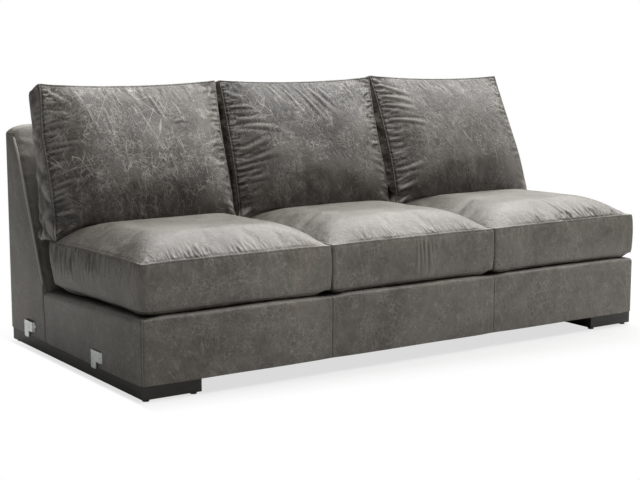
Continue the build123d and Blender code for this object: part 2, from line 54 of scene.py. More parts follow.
# ---- sizes repeated from the part ----
SEAT_PITCH = 710.0
SEAT_EDGE_TOP = 263.0
DECK_PITCH = 2.4
BACK_FOOT = 773.0
BACK_FOOT_HEIGHT = 265.0
BACK_LEAN = 23.6
SEAM_LEAN = 20.0
SEAT_TILT = 1.15
SEAT_DEPTH = 712.0
SEAT_SEAM = 285.0
SEAT_BOXING = 151.0
BACK_CUSHION_FOOT = 608.0
BACK_CUSHION_SEAT = 475.0
BACK_CUSHION_LEAN = 19.2
BACK_CUSHION_HEIGHT = 510.0
BACK_BOXING_FOOT = 205.0
BACK_BOXING_TOP = 104.0

# ---- places read from the frame ----
HALF_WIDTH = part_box("back_side_panel_right")[1].x / MM
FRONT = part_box("front_panel_middle")[0].y / MM
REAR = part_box("outside_back_panel")[1].y / MM
BASE_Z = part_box("front_panel_middle")[0].z / MM
BACK_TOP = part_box("inside_back_cover")[1].z / MM
SEAT_CENTERS = {name: (i - 1) * SEAT_PITCH for i, name in enumerate(NAMES)}
DECK_SLOPE = math.tan(math.radians(DECK_PITCH))
LEAN_SLOPE = math.tan(math.radians(BACK_LEAN))
SEAM_SLOPE = SEAM_LEAN / (BACK_FOOT_HEIGHT - BASE_Z)


def deck_z(y):
    """Height of the deck plane."""
    return SEAT_EDGE_TOP - (y - FRONT) * DECK_SLOPE


def lean_y(z):
    """Y of the inside back plane."""
    return FRONT + BACK_FOOT + (z - BACK_FOOT_HEIGHT) * LEAN_SLOPE


def seam_y(z):
    """Y of the seam between the side panels of seat and back."""
    return FRONT + BACK_FOOT - SEAM_LEAN + (z - BASE_Z) * SEAM_SLOPE


# ---- small numeric helpers ----
def ramp(x, low, high):
    """Smooth step from 0 at low to 1 at high."""
    t = np.clip((x - low) / (high - low), 0, 1)
    return t * t * (3 - 2 * t)


def bell(x, width):
    """Smooth bump, 1 at x = 0 and almost 0 from twice its width away."""
    return np.exp(-((x / width) ** 2))


def graded(length, pitch, near_edge=(0, 3, 7, 12, 19)):
    """Positions from 0 to length, close together at both ends and about a pitch apart between."""
    rim = np.array(near_edge, float)
    inner = length - 2 * rim[-1]
    count = max(1, round(inner / pitch))
    middle = rim[-1] + inner * np.arange(1, count) / count
    return np.concatenate([rim, middle, length - rim[::-1]])


FIRST_SEED = 5000


def swell(points, seed, wavelength, waves=24):
    """Smooth random field of about unit size over points, the same for each run."""
    rng = np.random.default_rng(int(seed) + FIRST_SEED)
    turn = rng.normal(size=(waves, points.shape[-1]))
    turn /= np.linalg.norm(turn, axis=1)[:, None]
    pace = 2 * math.pi / (wavelength * rng.uniform(0.7, 1.6, waves))
    phase = rng.uniform(0, 2 * math.pi, waves)
    total = np.zeros(points.shape[:-1])
    for k, f, p in zip(turn, pace, phase):
        total += np.cos(points @ (k * f) + p)
    return total / math.sqrt(waves / 2)


def fold(a, b, start, heading, length, width, depth, bend=0.0):
    """Height of one crease on a flat pattern: a soft ridge between two shallow valleys."""
    turn = math.radians(heading)
    da, db = a - start[0], b - start[1]
    along = da * math.cos(turn) + db * math.sin(turn)
    across = -da * math.sin(turn) + db * math.cos(turn) - bend * along * along / length
    share = along / length
    t = across / (width * (0.55 + 0.75 * np.clip(share, 0, 1)))
    envelope = ramp(share, -0.03, 0.22) * (1 - ramp(share, 0.35, 1.0))
    return depth * envelope * (np.exp(-t * t) - 0.62 * np.exp(-((np.abs(t) - 1.7) ** 2) / 0.6))


LEAST_PUCKER = 0.06  # creases with less of their depth than this are left out
PUCKER_BEND = 0.14


def puckers(a, b, seed, start, end, heading, reach, spacing, depth, width=7.0, spread=14.0, gain=None):
    """Row of short creases running away from a seam between two points of a flat pattern.

    spread is how far their headings differ, and gain gives their strength for a share of the way
    from start to end. The named rows below have all that stands from heading to spread.
    """
    rng = np.random.default_rng(int(seed) + FIRST_SEED)
    start, end = np.array(start, float), np.array(end, float)
    run = np.linalg.norm(end - start)
    total = np.zeros_like(a)
    at = rng.uniform(0.3, 0.9) * spacing
    while at < run:
        local = 1.0 if gain is None else gain(at / run)
        size = local * rng.uniform(0.3, 1.0)
        if size > LEAST_PUCKER:
            foot = start + (end - start) * at / run
            turn = heading + rng.normal() * spread
            length = rng.uniform(*reach) * (0.5 + 0.5 * size)
            broad = width * rng.uniform(0.75, 1.4)
            total += fold(a, b, foot, turn, length, broad, depth * size, rng.normal() * PUCKER_BEND)
        at += spacing * rng.uniform(0.55, 1.5)
    return total


# ---- mesh helpers ----
def make_object(name, points, faces, material):
    """Object from points in millimetres and faces; smooth shaded."""
    mesh = bpy.data.meshes.new(name)
    mesh.from_pydata((np.asarray(points) * MM).tolist(), [], faces)
    mesh.polygons.foreach_set("use_smooth", [True] * len(mesh.polygons))
    mesh.materials.append(material)
    mesh.update()
    obj = bpy.data.objects.new(name, mesh)
    bpy.context.scene.collection.objects.link(obj)
    return obj


def set_points(obj, points):
    obj.data.vertices.foreach_set("co", (points * MM).astype(np.float32).ravel())
    obj.data.update()


def read(items, key):
    """Rows of three numbers from a mesh's points or from an attribute kept on them."""
    values = np.zeros(len(items) * 3, np.float32)
    items.foreach_get(key, values)
    return values.reshape(-1, 3).astype(float)


def add_values(obj, name, values):
    """Stores a number, or a row of three, for each point, which a material can read by its name."""
    values = np.asarray(values, np.float32)
    kind, key = ("FLOAT", "value") if values.ndim == 1 else ("FLOAT_VECTOR", "vector")
    obj.data.attributes.new(name, kind, "POINT").data.foreach_set(key, values.ravel())


def face_normals_out(obj):
    bm = bmesh.new()
    bm.from_mesh(obj.data)
    bmesh.ops.recalc_face_normals(bm, faces=bm.faces)
    bm.to_mesh(obj.data)
    bm.free()
    obj.data.update()


def grid_normals(grid):
    """Unit normals of a grid of points, by central differences."""
    normal = np.cross(np.gradient(grid, axis=0), np.gradient(grid, axis=1))
    return normal / np.maximum(np.linalg.norm(normal, axis=-1, keepdims=True), 1e-9)


def rim_of(rows, cols):
    """Row and column of each point round a grid's border, in order."""
    rim = [(i, 0) for i in range(rows)] + [(rows - 1, j) for j in range(1, cols)]
    return rim + [(i, cols - 1) for i in range(rows - 2, -1, -1)] + [(0, j) for j in range(cols - 2, 0, -1)]


def shell(name, grid, thickness, material):
    """Closed sheet with rims: its outer face is the grid, its inner face lies under that."""
    rows, cols = grid.shape[:2]
    inner = grid - grid_normals(grid) * thickness
    points = np.concatenate([grid.reshape(-1, 3), inner.reshape(-1, 3)])
    base = rows * cols
    faces = []
    for i in range(rows - 1):
        for j in range(cols - 1):
            a, b, c, d = i * cols + j, (i + 1) * cols + j, (i + 1) * cols + j + 1, i * cols + j + 1
            faces.append((a, b, c, d))
            faces.append((base + d, base + c, base + b, base + a))
    loop = [i * cols + j for i, j in rim_of(rows, cols)]
    for a, b in zip(loop, loop[1:] + loop[:1]):
        faces.append((b, a, base + a, base + b))
    return make_object(name, points, faces, material)


# ---- materials ----
class Shader:
    """Short calls that make and link the nodes of a material or world."""

    def __init__(self, owner):
        owner.use_nodes = True
        self.owner = owner
        self.nodes, self.links = owner.node_tree.nodes, owner.node_tree.links
        where = self.nodes.new("ShaderNodeTexCoord").outputs
        self.place, self.around = where["Object"], where["Generated"]

    def fill(self, made, sockets):
        """Gives a node's sockets their values, or links them to other nodes' sockets."""
        for key, value in sockets.items():
            if isinstance(value, bpy.types.NodeSocket):
                self.links.new(value, made.inputs[key])
            else:
                made.inputs[key].default_value = value

    def make(self, kind, sockets, **options):
        made = self.nodes.new(kind)
        for key, value in options.items():
            setattr(made, key, value)
        self.fill(made, sockets)
        return made

    def number(self, operation, *inputs, clamp=False):
        """Result of a sum, product or the like; inputs are numbers or sockets."""
        return self.make("ShaderNodeMath", dict(enumerate(inputs)), operation=operation, use_clamp=clamp).outputs[0]

    def product(self, first, *others):
        for other in others:
            first = self.number("MULTIPLY", first, other)
        return first

    def mix(self, factor, a, b):
        """Colour mix."""
        return self.make("ShaderNodeMix", {0: factor, 6: a, 7: b}, data_type="RGBA").outputs[2]

    def noise(self, vector, scale, detail=4.0, roughness=0.55, distortion=0.0, output="Fac"):
        sockets = {"Scale": scale, "Detail": detail, "Roughness": roughness, "Distortion": distortion}
        return self.make("ShaderNodeTexNoise", {"Vector": vector, **sockets}).outputs[output]

    def cells(self, vector, scale, feature="F1"):
        made = self.make("ShaderNodeTexVoronoi", {"Vector": vector, "Scale": scale}, feature=feature)
        return made.outputs["Distance"]

    def band(self, value, low, high, to_low=0.0, to_high=1.0):
        """Values from low to high spread over to_low to to_high, and held there beyond them."""
        sockets = {"Value": value, "From Min": low, "From Max": high, "To Min": to_low, "To Max": to_high}
        return self.make("ShaderNodeMapRange", sockets, clamp=True).outputs[0]

    def line(self, field, level, width):
        """Thin contour line of a field: 1 at the level and 0 from a width away."""
        return self.band(self.number("ABSOLUTE", self.number("SUBTRACT", field, level)), 0.0, width, 1.0, 0.0)

    def turned(self, vector, turn, scale=(1, 1, 1)):
        sockets = {"Vector": vector, "Rotation": [math.radians(t) for t in turn], "Scale": scale}
        return self.make("ShaderNodeMapping", sockets).outputs[0]

    def stretched(self, vector, turn, scale):
        """Place turned first and then scaled along the turned axes."""
        return self.turned(self.turned(vector, turn), (0, 0, 0), scale)

    def split(self, vector):
        return self.make("ShaderNodeSeparateXYZ", {0: vector}).outputs

    def attribute(self, name, output):
        return self.make("ShaderNodeAttribute", {}, attribute_name=name).outputs[output]

    def relief(self, height, distance, strength=1.0, **over):
        sockets = {"Height": height, "Distance": distance, "Strength": strength, **over}
        return self.make("ShaderNodeBump", sockets).outputs[0]

    def coat(self, **sockets):
        """Gives the material's own shader its values; a name's underscores stand for spaces."""
        self.fill(self.nodes["Principled BSDF"], {key.replace("_", " "): value for key, value in sockets.items()})
        return self.owner


def shader_of(name):
    return Shader(bpy.data.materials.new(name))


# the net of pale creases: scale, push, push's scale, width, mask's scale, mask's low and high, strength
LEATHER_NETS = (
    (25.0, 0.125, 12.0, 0.045, 7.0, 0.49, 0.57, 0.58),
    (41.0, 0.080, 19.0, 0.070, 8.0, 0.50, 0.59, 0.52),
    (72.0, 0.044, 34.0, 0.095, 14.0, 0.50, 0.60, 0.42),
)
# hairline scratches: turn, stretch, scale, mask's scale, width, strength
LEATHER_HAIRLINES = (
    ((8, 12, 35), (1, 1, 0.22), 26.0, 9.0, 0.013, 0.42),
    ((-14, 25, 80), (1, 1, 0.30), 48.0, 16.0, 0.022, 0.24),
    ((60, -15, 110), (0.30, 1, 1), 30.0, 11.0, 0.013, 0.38),
    ((-35, 70, 20), (1, 0.4, 1), 40.0, 17.0, 0.018, 0.24),
)
# long scratches: turn, scale, strength
LEATHER_SCRATCHES = ((-18, 24.0, 0.85), (-36, 17.0, 0.80), (34, 20.0, 0.70), (72, 26.0, 0.55))
HIDE_DARK, HIDE_PALE = (0.078, 0.069, 0.056, 1), (0.184, 0.171, 0.149, 1)
HIDE_RUSTY, HIDE_SHADED = (0.170, 0.108, 0.080, 1), (0.036, 0.031, 0.026, 1)
# pale of rubbed leather, also used for painted highlights; near black used only for painted shade
HIDE_RUBBED_AND_HIGHLIGHT, GROOVE_PAINTED_SHADE = (0.46, 0.44, 0.395, 1), (0.020, 0.017, 0.014, 1)


def leather_material():
    """Waxed grey-brown hide: cloudy tone, a net of pale creases, hairline scratches, grain and worn ridges, with
    painted highlights on ridges and gathers, and painted shade in seams, in hollows and on the back cushions.

    It reads values kept on a mesh: wear, above 0 on rubbed ridges that also get a painted highlight, and
    below 0 in seams and hollows darkened with painted shade; pattern, the place on the cut leather, along
    which long scratches run where streaks is above 0; pleat, the place along and away from a seam, with how
    strongly the leather is gathered there, which gives folds in the relief and painted glints and shade;
    and shade, the share of painted shade.
    """
    s = shader_of("distressed_leather")
    number, product, band, noise = s.number, s.product, s.band, s.noise
    place = s.place

    # cloudy tone, from a dark to a pale grey-brown, with a few rusty patches
    cloud = noise(place, 3.4, 4.0, 0.6, 0.4)
    mottle = noise(place, 17.0, 6.0, 0.68, 0.8)
    speck = noise(place, 90.0, 4.0, 0.7, 0.3)
    tone = number("ADD", product(cloud, 0.42), product(mottle, 0.42))
    tone = band(number("ADD", tone, product(speck, 0.16)), 0.37, 0.63)
    rust = band(noise(place, 3.1, 3.0, 0.5, 0.8), 0.60, 0.74)
    color = s.mix(tone, HIDE_DARK, HIDE_PALE)
    color = s.mix(product(rust, 0.3), color, HIDE_RUSTY)
    # painted shade: the hide is darkened where the shade value asks, on the back cushions' fronts
    color = s.mix(s.attribute("shade", "Fac"), color, HIDE_SHADED)

    # a net of pale creases: the borders of distorted cells, in patches
    streaks = s.attribute("streaks", "Fac")
    pale = None
    for scale, amount, wobble_scale, width, mask_scale, low, high, strength in LEATHER_NETS:
        wobble = noise(place, wobble_scale, 3.0, 0.5, 0.0, "Color")
        sockets = {0: wobble, 1: (amount,) * 3, 2: place}
        nudged = s.make("ShaderNodeVectorMath", sockets, operation="MULTIPLY_ADD").outputs[0]
        border = band(s.cells(nudged, scale, "DISTANCE_TO_EDGE"), 0.0, width, 1.0, 0.0)
        mask = band(noise(place, mask_scale, 4.0, 0.65), low, high)
        layer = product(border, mask, strength)
        if pale is None:
            pale = product(layer, number("ADD", streaks, 0.25, clamp=True))
        else:
            pale = number("MAXIMUM", pale, layer)

    # hairline scratches: contour lines of stretched noises
    for turn, stretch, scale, mask_scale, width, strength in LEATHER_HAIRLINES:
        moved = s.stretched(place, turn, stretch)
        line = s.line(noise(moved, scale, 2.0, 0.45, 0.4), 0.5, width)
        mask = band(noise(moved, mask_scale, 3.0, 0.6), 0.46, 0.57)
        pale = number("MAXIMUM", pale, product(line, mask, strength))

    # long scratches down the back cushions
    pattern = s.attribute("pattern", "Vector")
    mask = band(noise(pattern, 6.0, 3.0, 0.6), 0.48, 0.57)
    for turn, scale, strength in LEATHER_SCRATCHES:
        moved = s.stretched(pattern, (0, 0, turn), (1, 0.10, 1))
        line = s.line(noise(moved, scale, 1.0, 0.4, 0.25), 0.53, 0.011)
        pale = number("MAXIMUM", pale, product(line, mask, streaks, strength))

    # gathers along a seam: their folds in the relief, painted glints on their crests and painted shade in their
    # valleys
    seam = s.split(s.attribute("pleat", "Vector"))
    along = s.make("ShaderNodeCombineXYZ", {"X": seam["X"], "Y": product(seam["Y"], 0.13)}).outputs[0]
    gathers = band(noise(along, 58.0, 1.5, 0.5, 0.35), 0.30, 0.70)
    gathered = seam["Z"]
    crest = product(band(gathers, 0.62, 0.92), gathered)
    valley_shade = product(band(gathers, 0.40, 0.12), gathered)

    worn_and_shaded = s.attribute("wear_and_shading", "Fac")
    pale = product(pale, number("MULTIPLY_ADD", streaks, 1.1, 0.68))
    # rubbed ridges and seam crests are paled, partly as painted highlight
    pale = number("MAXIMUM", pale, number("MULTIPLY", worn_and_shaded, 0.6, clamp=True), clamp=True)
    # painted glints on the gathers' crests
    pale = number("MAXIMUM", pale, product(crest, 0.66), clamp=True)
    color = s.mix(pale, color, HIDE_RUBBED_AND_HIGHLIGHT)
    # painted shade: seam grooves, crease hollows and the gathers' valleys darkened towards black
    dark = number("MAXIMUM", product(worn_and_shaded, -0.9), product(valley_shade, 0.62), clamp=True)
    color = s.mix(dark, color, GROOVE_PAINTED_SHADE)

    # relief: fine grain, soft wrinkles and the scratches' shallow grooves, over the gathers' folds
    pebbles = s.cells(place, 620.0)
    wrinkle = number("ABSOLUTE", number("SUBTRACT", noise(place, 34.0, 3.0, 0.55, 0.9), 0.5))
    height = number("ADD", product(pebbles, 0.2), product(wrinkle, -6.0))
    height = number("ADD", height, product(speck, 0.9))
    height = number("SUBTRACT", height, product(pale, 0.35))
    folds = s.relief(product(gathers, gathered), 0.007)
    return s.coat(
        Base_Color=color,
        Roughness=number("ADD", band(mottle, 0.3, 0.7, 0.40, 0.56), product(pale, 0.10)),  # waxy
        Specular_IOR_Level=0.55,
        Normal=s.relief(height, 0.0009, 0.6, Normal=folds),
    )


def tinted(color, share):
    """A colour made darker or paler."""
    return tuple(min(1, share * c) for c in color[:3]) + (1,)


def wood_material(name, dark, pale, roughness, grain=18.0):
    """Stained wood with long grain along Y and X."""
    s = shader_of(name)
    rings = s.noise(s.turned(s.place, (0, 0, 0), (0.35, 0.35, 6.0)), grain, 6.0, 0.6, 1.2)
    pores = s.noise(s.turned(s.place, (0, 0, 0), (0.6, 0.6, 14.0)), grain * 9, 3.0, 0.6)
    color = s.mix(s.band(rings, 0.35, 0.65), dark, pale)
    return s.coat(
        Base_Color=s.mix(s.band(pores, 0.52, 0.68, 0.0, 0.35), color, dark),
        Roughness=s.band(pores, 0.3, 0.7, roughness - 0.06, roughness + 0.1),
        Normal=s.relief(pores, 0.0005, 0.3),
    )


def metal_material(name, color, roughness, spangle=120.0):
    """Plated steel with a faint spangle and dull spots."""
    s = shader_of(name)
    tone = s.number("MULTIPLY", s.cells(s.place, spangle), 0.8, clamp=True)
    cloud = s.noise(s.place, 40.0, 5.0, 0.65)
    return s.coat(
        Base_Color=s.mix(tone, color, tinted(color, 0.72)),
        Metallic=1.0,
        Roughness=s.band(cloud, 0.35, 0.7, roughness - 0.08, roughness + 0.14),
    )


def cloth_material(name, color, thread):
    """Plain weave with threads of a given width in metres."""
    s = shader_of(name)
    heights = []
    for turn in (0, 90):
        sockets = {"Vector": s.turned(s.place, (0, 0, turn)), "Scale": 1.0 / (thread * 20), "Distortion": 0.6}
        heights.append(s.make("ShaderNodeTexWave", sockets).outputs["Fac"])
    weave = s.product(*heights)
    lint = s.noise(s.place, 35.0, 6.0, 0.7)
    return s.coat(
        Base_Color=s.mix(s.product(weave, lint), color, tinted(color, 1.5)),
        Roughness=0.85,
        Sheen_Weight=0.2,
        Normal=s.relief(weave, 0.0004, 0.5),
    )


def foam_material(name, color):
    """Open-cell foam."""
    s = shader_of(name)
    cells = s.cells(s.place, 450.0)
    tone = s.number("MULTIPLY", cells, 0.9, clamp=True)
    return s.coat(
        Base_Color=s.mix(tone, color, tinted(color, 0.6)), Roughness=0.95, Normal=s.relief(cells, 0.0008)
    )


def plastic_material(name, color):
    """Moulded plastic with a fine texture."""
    s = shader_of(name)
    grain = s.noise(s.place, 900.0, 3.0, 0.6)
    return s.coat(
        Base_Color=s.mix(grain, color, tinted(color, 1.6)), Roughness=0.5, Normal=s.relief(grain, 0.0003, 0.3)
    )


LEATHER = leather_material()
FOAM = foam_material("seat_foam", (0.72, 0.66, 0.42, 1))
SLOT_MATERIALS = {
    "leather": LEATHER,
    "plinth_wood": wood_material("espresso_wood", (0.018, 0.0165, 0.014, 1), (0.036, 0.032, 0.027, 1), 0.42),
    "frame_wood": wood_material("frame_timber", (0.40, 0.27, 0.15, 1), (0.62, 0.47, 0.29, 1), 0.7, 9.0),
    "zinc": metal_material("zinc_plate", (0.80, 0.84, 0.80, 1), 0.42),
    "spring_steel": metal_material("spring_wire", (0.22, 0.23, 0.25, 1), 0.4, 400.0),
    "foam": FOAM,
    "deck_cloth": cloth_material("deck_cloth", (0.030, 0.028, 0.026, 1), 0.0009),
    "webbing": cloth_material("webbing", (0.20, 0.14, 0.07, 1), 0.0016),
    "dust_cloth": cloth_material("dust_cloth", (0.010, 0.010, 0.010, 1), 0.0007),
    "zip_tape": cloth_material("zip_tape", (0.022, 0.021, 0.019, 1), 0.0005),
    "zip_metal": metal_material("zip_metal", (0.30, 0.27, 0.22, 1), 0.35, 600.0),
    "glide": plastic_material("glide_plastic", (0.012, 0.012, 0.012, 1)),
}
for part in frame["record"]["subparts"]:
    carried = frame["nodes"][part["node"]]
    carried.data.materials.clear()
    carried.data.materials.append(SLOT_MATERIALS[part["material_slot"]])


# ---- boxed cushions ----
def crown_rise(distance, reach, power):
    """Share of a crown's height at a distance from its seam."""
    return 1 - (1 - np.clip(distance / reach, 0, 1)) ** power


OTHER_PANEL = 500.0  # added to a distance from a seam that the other panel has
SOFT_CORNER = 34.0  # how much rounder the near corners of a soft side are
EAR_POWER = 14  # how closely an ear keeps to its corner


class Boxed:
    """Box cushion in its own coordinates: a across, b along, c from the near seam to the far one.

    Its pattern is the sharp box; build() rounds it, draws its sides in and crowns its panels.
    """

    def __init__(self, half, length, near, far, draws, crowns, bulge, soft_side=0):
        self.half, self.length = half, length
        self.soft_side = soft_side  # the side whose corners are rounder, -1 or 1
        self.near, self.far = near, far  # each seam's corner radius, inset and ears
        self.draw_side, self.draw_low, self.draw_high = draws
        self.box_near, self.box_far = bulge[1:]  # boxing at b = 0 and at b = length
        self.near_crown, self.far_crown = crowns  # each: height, then (reach, power) of sides, low and high end
        self.bulge = bulge[0]

    def boxing(self, b):
        share = np.clip(b / self.length, 0, 1)
        return self.box_near + (self.box_far - self.box_near) * share

    def outline(self, u, v, share):
        """Place across and along for u and v from -1 to 1, at a share of the way to the far seam."""
        corner, _, ear = [n + (f - n) * share for n, f in zip(self.near, self.far)]
        if self.soft_side:
            corner = corner + SOFT_CORNER * (np.sign(u) == self.soft_side) * (1 - share) ** 0.6
        inset = self.near[1] * (1 - share) ** 3 + self.far[1] * share**3
        reach = ear * np.abs(u * v) ** EAR_POWER
        half = self.half - inset
        a = u * (half - self.draw_side * (1 - v * v) + reach)
        low = inset + self.draw_low * (1 - u * u) - reach
        high = self.length - inset - self.draw_high * (1 - u * u) + reach
        b = low + (high - low) * (v + 1) / 2
        off_a = np.sign(u) * np.clip(np.abs(u) * half - (half - corner), 0, None)
        mid = self.length / 2
        off_b = np.sign(v) * np.clip(np.abs(v) * (mid - inset) - (mid - inset - corner), 0, None)
        size = np.hypot(off_a, off_b)
        share_kept = np.maximum(np.abs(off_a), np.abs(off_b)) / np.maximum(size, 1e-9)
        share_kept = np.where(size > 1e-6, share_kept, 1)
        return a - off_a * (1 - share_kept), b - off_b * (1 - share_kept)

    def crown(self, a, b, spec):
        height, across, low, high = spec
        share = crown_rise(self.half - np.abs(a), *across) * crown_rise(b, *low)
        return height * share * crown_rise(self.length - b, *high)

    def build(self, pitch, near_edge, along=None, around=None):
        """Points, their places on the sharp pattern, and the faces of the closed form."""
        us = graded(2 * self.half, pitch, near_edge) / self.half - 1
        vs = 2 * graded(self.length, along or pitch, near_edge) / self.length - 1
        rings = graded((self.box_near + self.box_far) / 2, around or pitch, near_edge)
        rings = rings / rings[-1]
        nu, nv = len(us), len(vs)
        u, v = np.meshgrid(us, vs, indexing="ij")
        flat_a, flat_b = u * self.half, (v + 1) * self.length / 2
        points, rest = [], []
        for share, side, spec in ((0.0, -1, self.near_crown), (1.0, 1, self.far_crown)):
            a, b = self.outline(u, v, share)
            level = share * self.boxing(flat_b)
            points.append(np.stack([a, b, level + side * self.crown(flat_a, flat_b, spec)], -1).reshape(-1, 3))
            rest.append(np.stack([flat_a, flat_b, level], -1).reshape(-1, 3))
        rim_i, rim_j = np.array(rim_of(nu, nv)).T
        rim_u, rim_v = u[rim_i, rim_j], v[rim_i, rim_j]
        edge_a, edge_b = flat_a[rim_i, rim_j], flat_b[rim_i, rim_j]
        for w in rings[1:-1]:
            a, b = self.outline(rim_u, rim_v, w)
            out_a, out_b = np.roll(b, -1) - np.roll(b, 1), np.roll(a, 1) - np.roll(a, -1)
            size = np.hypot(out_a, out_b)
            out = self.bulge * math.sin(math.pi * w) ** 0.7 / size
            level = w * self.boxing(edge_b)
            points.append(np.stack([a + out_a * out, b + out_b * out, level], -1))
            rest.append(np.stack([edge_a, edge_b, level], -1))
        per_grid = nu * nv
        loop = rim_i * nv + rim_j
        count = len(loop)
        levels = [loop] + [2 * per_grid + k * count + np.arange(count) for k in range(len(rings) - 2)]
        levels.append(loop + per_grid)
        faces = []
        for i in range(nu - 1):
            for j in range(nv - 1):
                k = i * nv + j
                faces.append((k, k + 1, k + nv + 1, k + nv))
                faces.append((per_grid + k + nv, per_grid + k + nv + 1, per_grid + k + 1, per_grid + k))
        for low, high in zip(levels, levels[1:]):
            for k in range(count):
                m = (k + 1) % count
                faces.append((int(low[k]), int(low[m]), int(high[m]), int(high[k])))
        return np.concatenate(points), np.concatenate(rest), faces

    def seams(self, rest):
        """Distance from the near and from the far seam over the surface, and whether a point is on the boxing."""
        a, b, c = rest.T
        box = self.boxing(b)
        on_box = (c > 1e-3) & (c < box - 1e-3)
        inward = np.maximum(np.minimum(self.half - np.abs(a), np.minimum(b, self.length - b)), 0)
        near = np.where(on_box, c, inward + np.where(c > box / 2, OTHER_PANEL, 0))
        far = np.where(on_box, box - c, inward + np.where(c < box / 2, OTHER_PANEL, 0))
        return near, far, on_box


def placed(turn, origin):
    """Matrix from a cushion's own coordinates to the part's frame."""
    return Matrix.Translation(origin) @ Matrix.Rotation(math.radians(turn), 4, "X")


def to_frame(matrix, points, kind):
    """Points of a cushion in the part's frame; for a back cushion, b points up and c to the rear."""
    m = np.array(matrix)
    return (points[:, [0, 2, 1]] if kind == "back" else points) @ m[:3, :3].T + m[:3, 3]


def simulate(obj, pins, frames=16, pressure=5.0, shrink=(-0.006, 0.015), cap=8.0):
    """Lets the cover settle as cloth puffed out by pressure, and keeps it near where it started."""
    rest = read(obj.data.vertices, "co")
    group = obj.vertex_groups.new(name="seams")
    for index, weight in enumerate(pins):
        if weight > 0.01:
            group.add([index], float(weight), "REPLACE")
    cloth = obj.modifiers.new("cloth", "CLOTH")
    settings = cloth.settings
    settings.quality = 5
    settings.mass = 0.4
    settings.air_damping = 4
    settings.tension_damping = settings.compression_damping = 12
    settings.tension_stiffness = settings.compression_stiffness = 40
    settings.shear_stiffness = 12
    settings.bending_stiffness = 2.5
    settings.use_pressure = True
    settings.uniform_pressure_force = pressure
    settings.vertex_group_mass = "seams"
    settings.pin_stiffness = 1.0
    settings.vertex_group_shrink = "seams"
    settings.shrink_min, settings.shrink_max = shrink
    settings.effector_weights.gravity = 0.0
    cloth.collision_settings.use_collision = False
    cloth.point_cache.frame_start, cloth.point_cache.frame_end = 1, frames
    scene = bpy.context.scene
    for step in range(1, frames + 1):
        scene.frame_set(step)
    settled = obj.evaluated_get(bpy.context.evaluated_depsgraph_get())
    moved = read(settled.data.vertices, "co")
    obj.modifiers.remove(cloth)
    scene.frame_set(1)
    shift = moved - rest
    length = np.linalg.norm(shift, axis=1, keepdims=True)
    shift *= np.minimum(1, cap * MM / np.maximum(length, 1e-9))
    set_points(obj, (rest + shift) / MM)


def subdivided(obj):
    """Applies two levels of subdivision and returns the rest coordinates of the new points."""
    modifier = obj.modifiers.new("smooth", "SUBSURF")
    modifier.levels = modifier.render_levels = 2
    modifier.uv_smooth = "NONE"
    finer = obj.evaluated_get(bpy.context.evaluated_depsgraph_get())
    mesh = bpy.data.meshes.new_from_object(finer)
    obj.modifiers.clear()
    old = obj.data
    obj.data = mesh
    bpy.data.meshes.remove(old)
    mesh.name = obj.name
    rest = read(mesh.attributes["rest"].data, "vector")
    mesh.attributes.remove(mesh.attributes["rest"])
    mesh.polygons.foreach_set("use_smooth", [True] * len(mesh.polygons))
    return rest


GROOVE_AT, GROOVE_WIDTH = 5.0, 2.6  # the groove beside a cushion's seam
CREASE_WEAR_AND_SHADING, PANEL_CREASE_WEAR_AND_SHADING = 0.16, 0.13  # rubbing and painted highlight on crests, painted shade in hollows, for each millimetre of a crease's height
PIN_WIDTH, SEAM_PIN, BOXING_PIN = 9.0, 0.6, 0.35  # how firmly the cloth is held while it settles
CORE_CLEAR = 6.0  # further inset of a filling from what the cushion rests on


def seam_profile(distance, ridge):
    """A sewn seam: a ridge where the two leathers meet, and a groove on each side of it."""
    return ridge * (1.2 * bell(distance, 1.6) - 1.7 * bell(distance - GROOVE_AT, GROOVE_WIDTH))


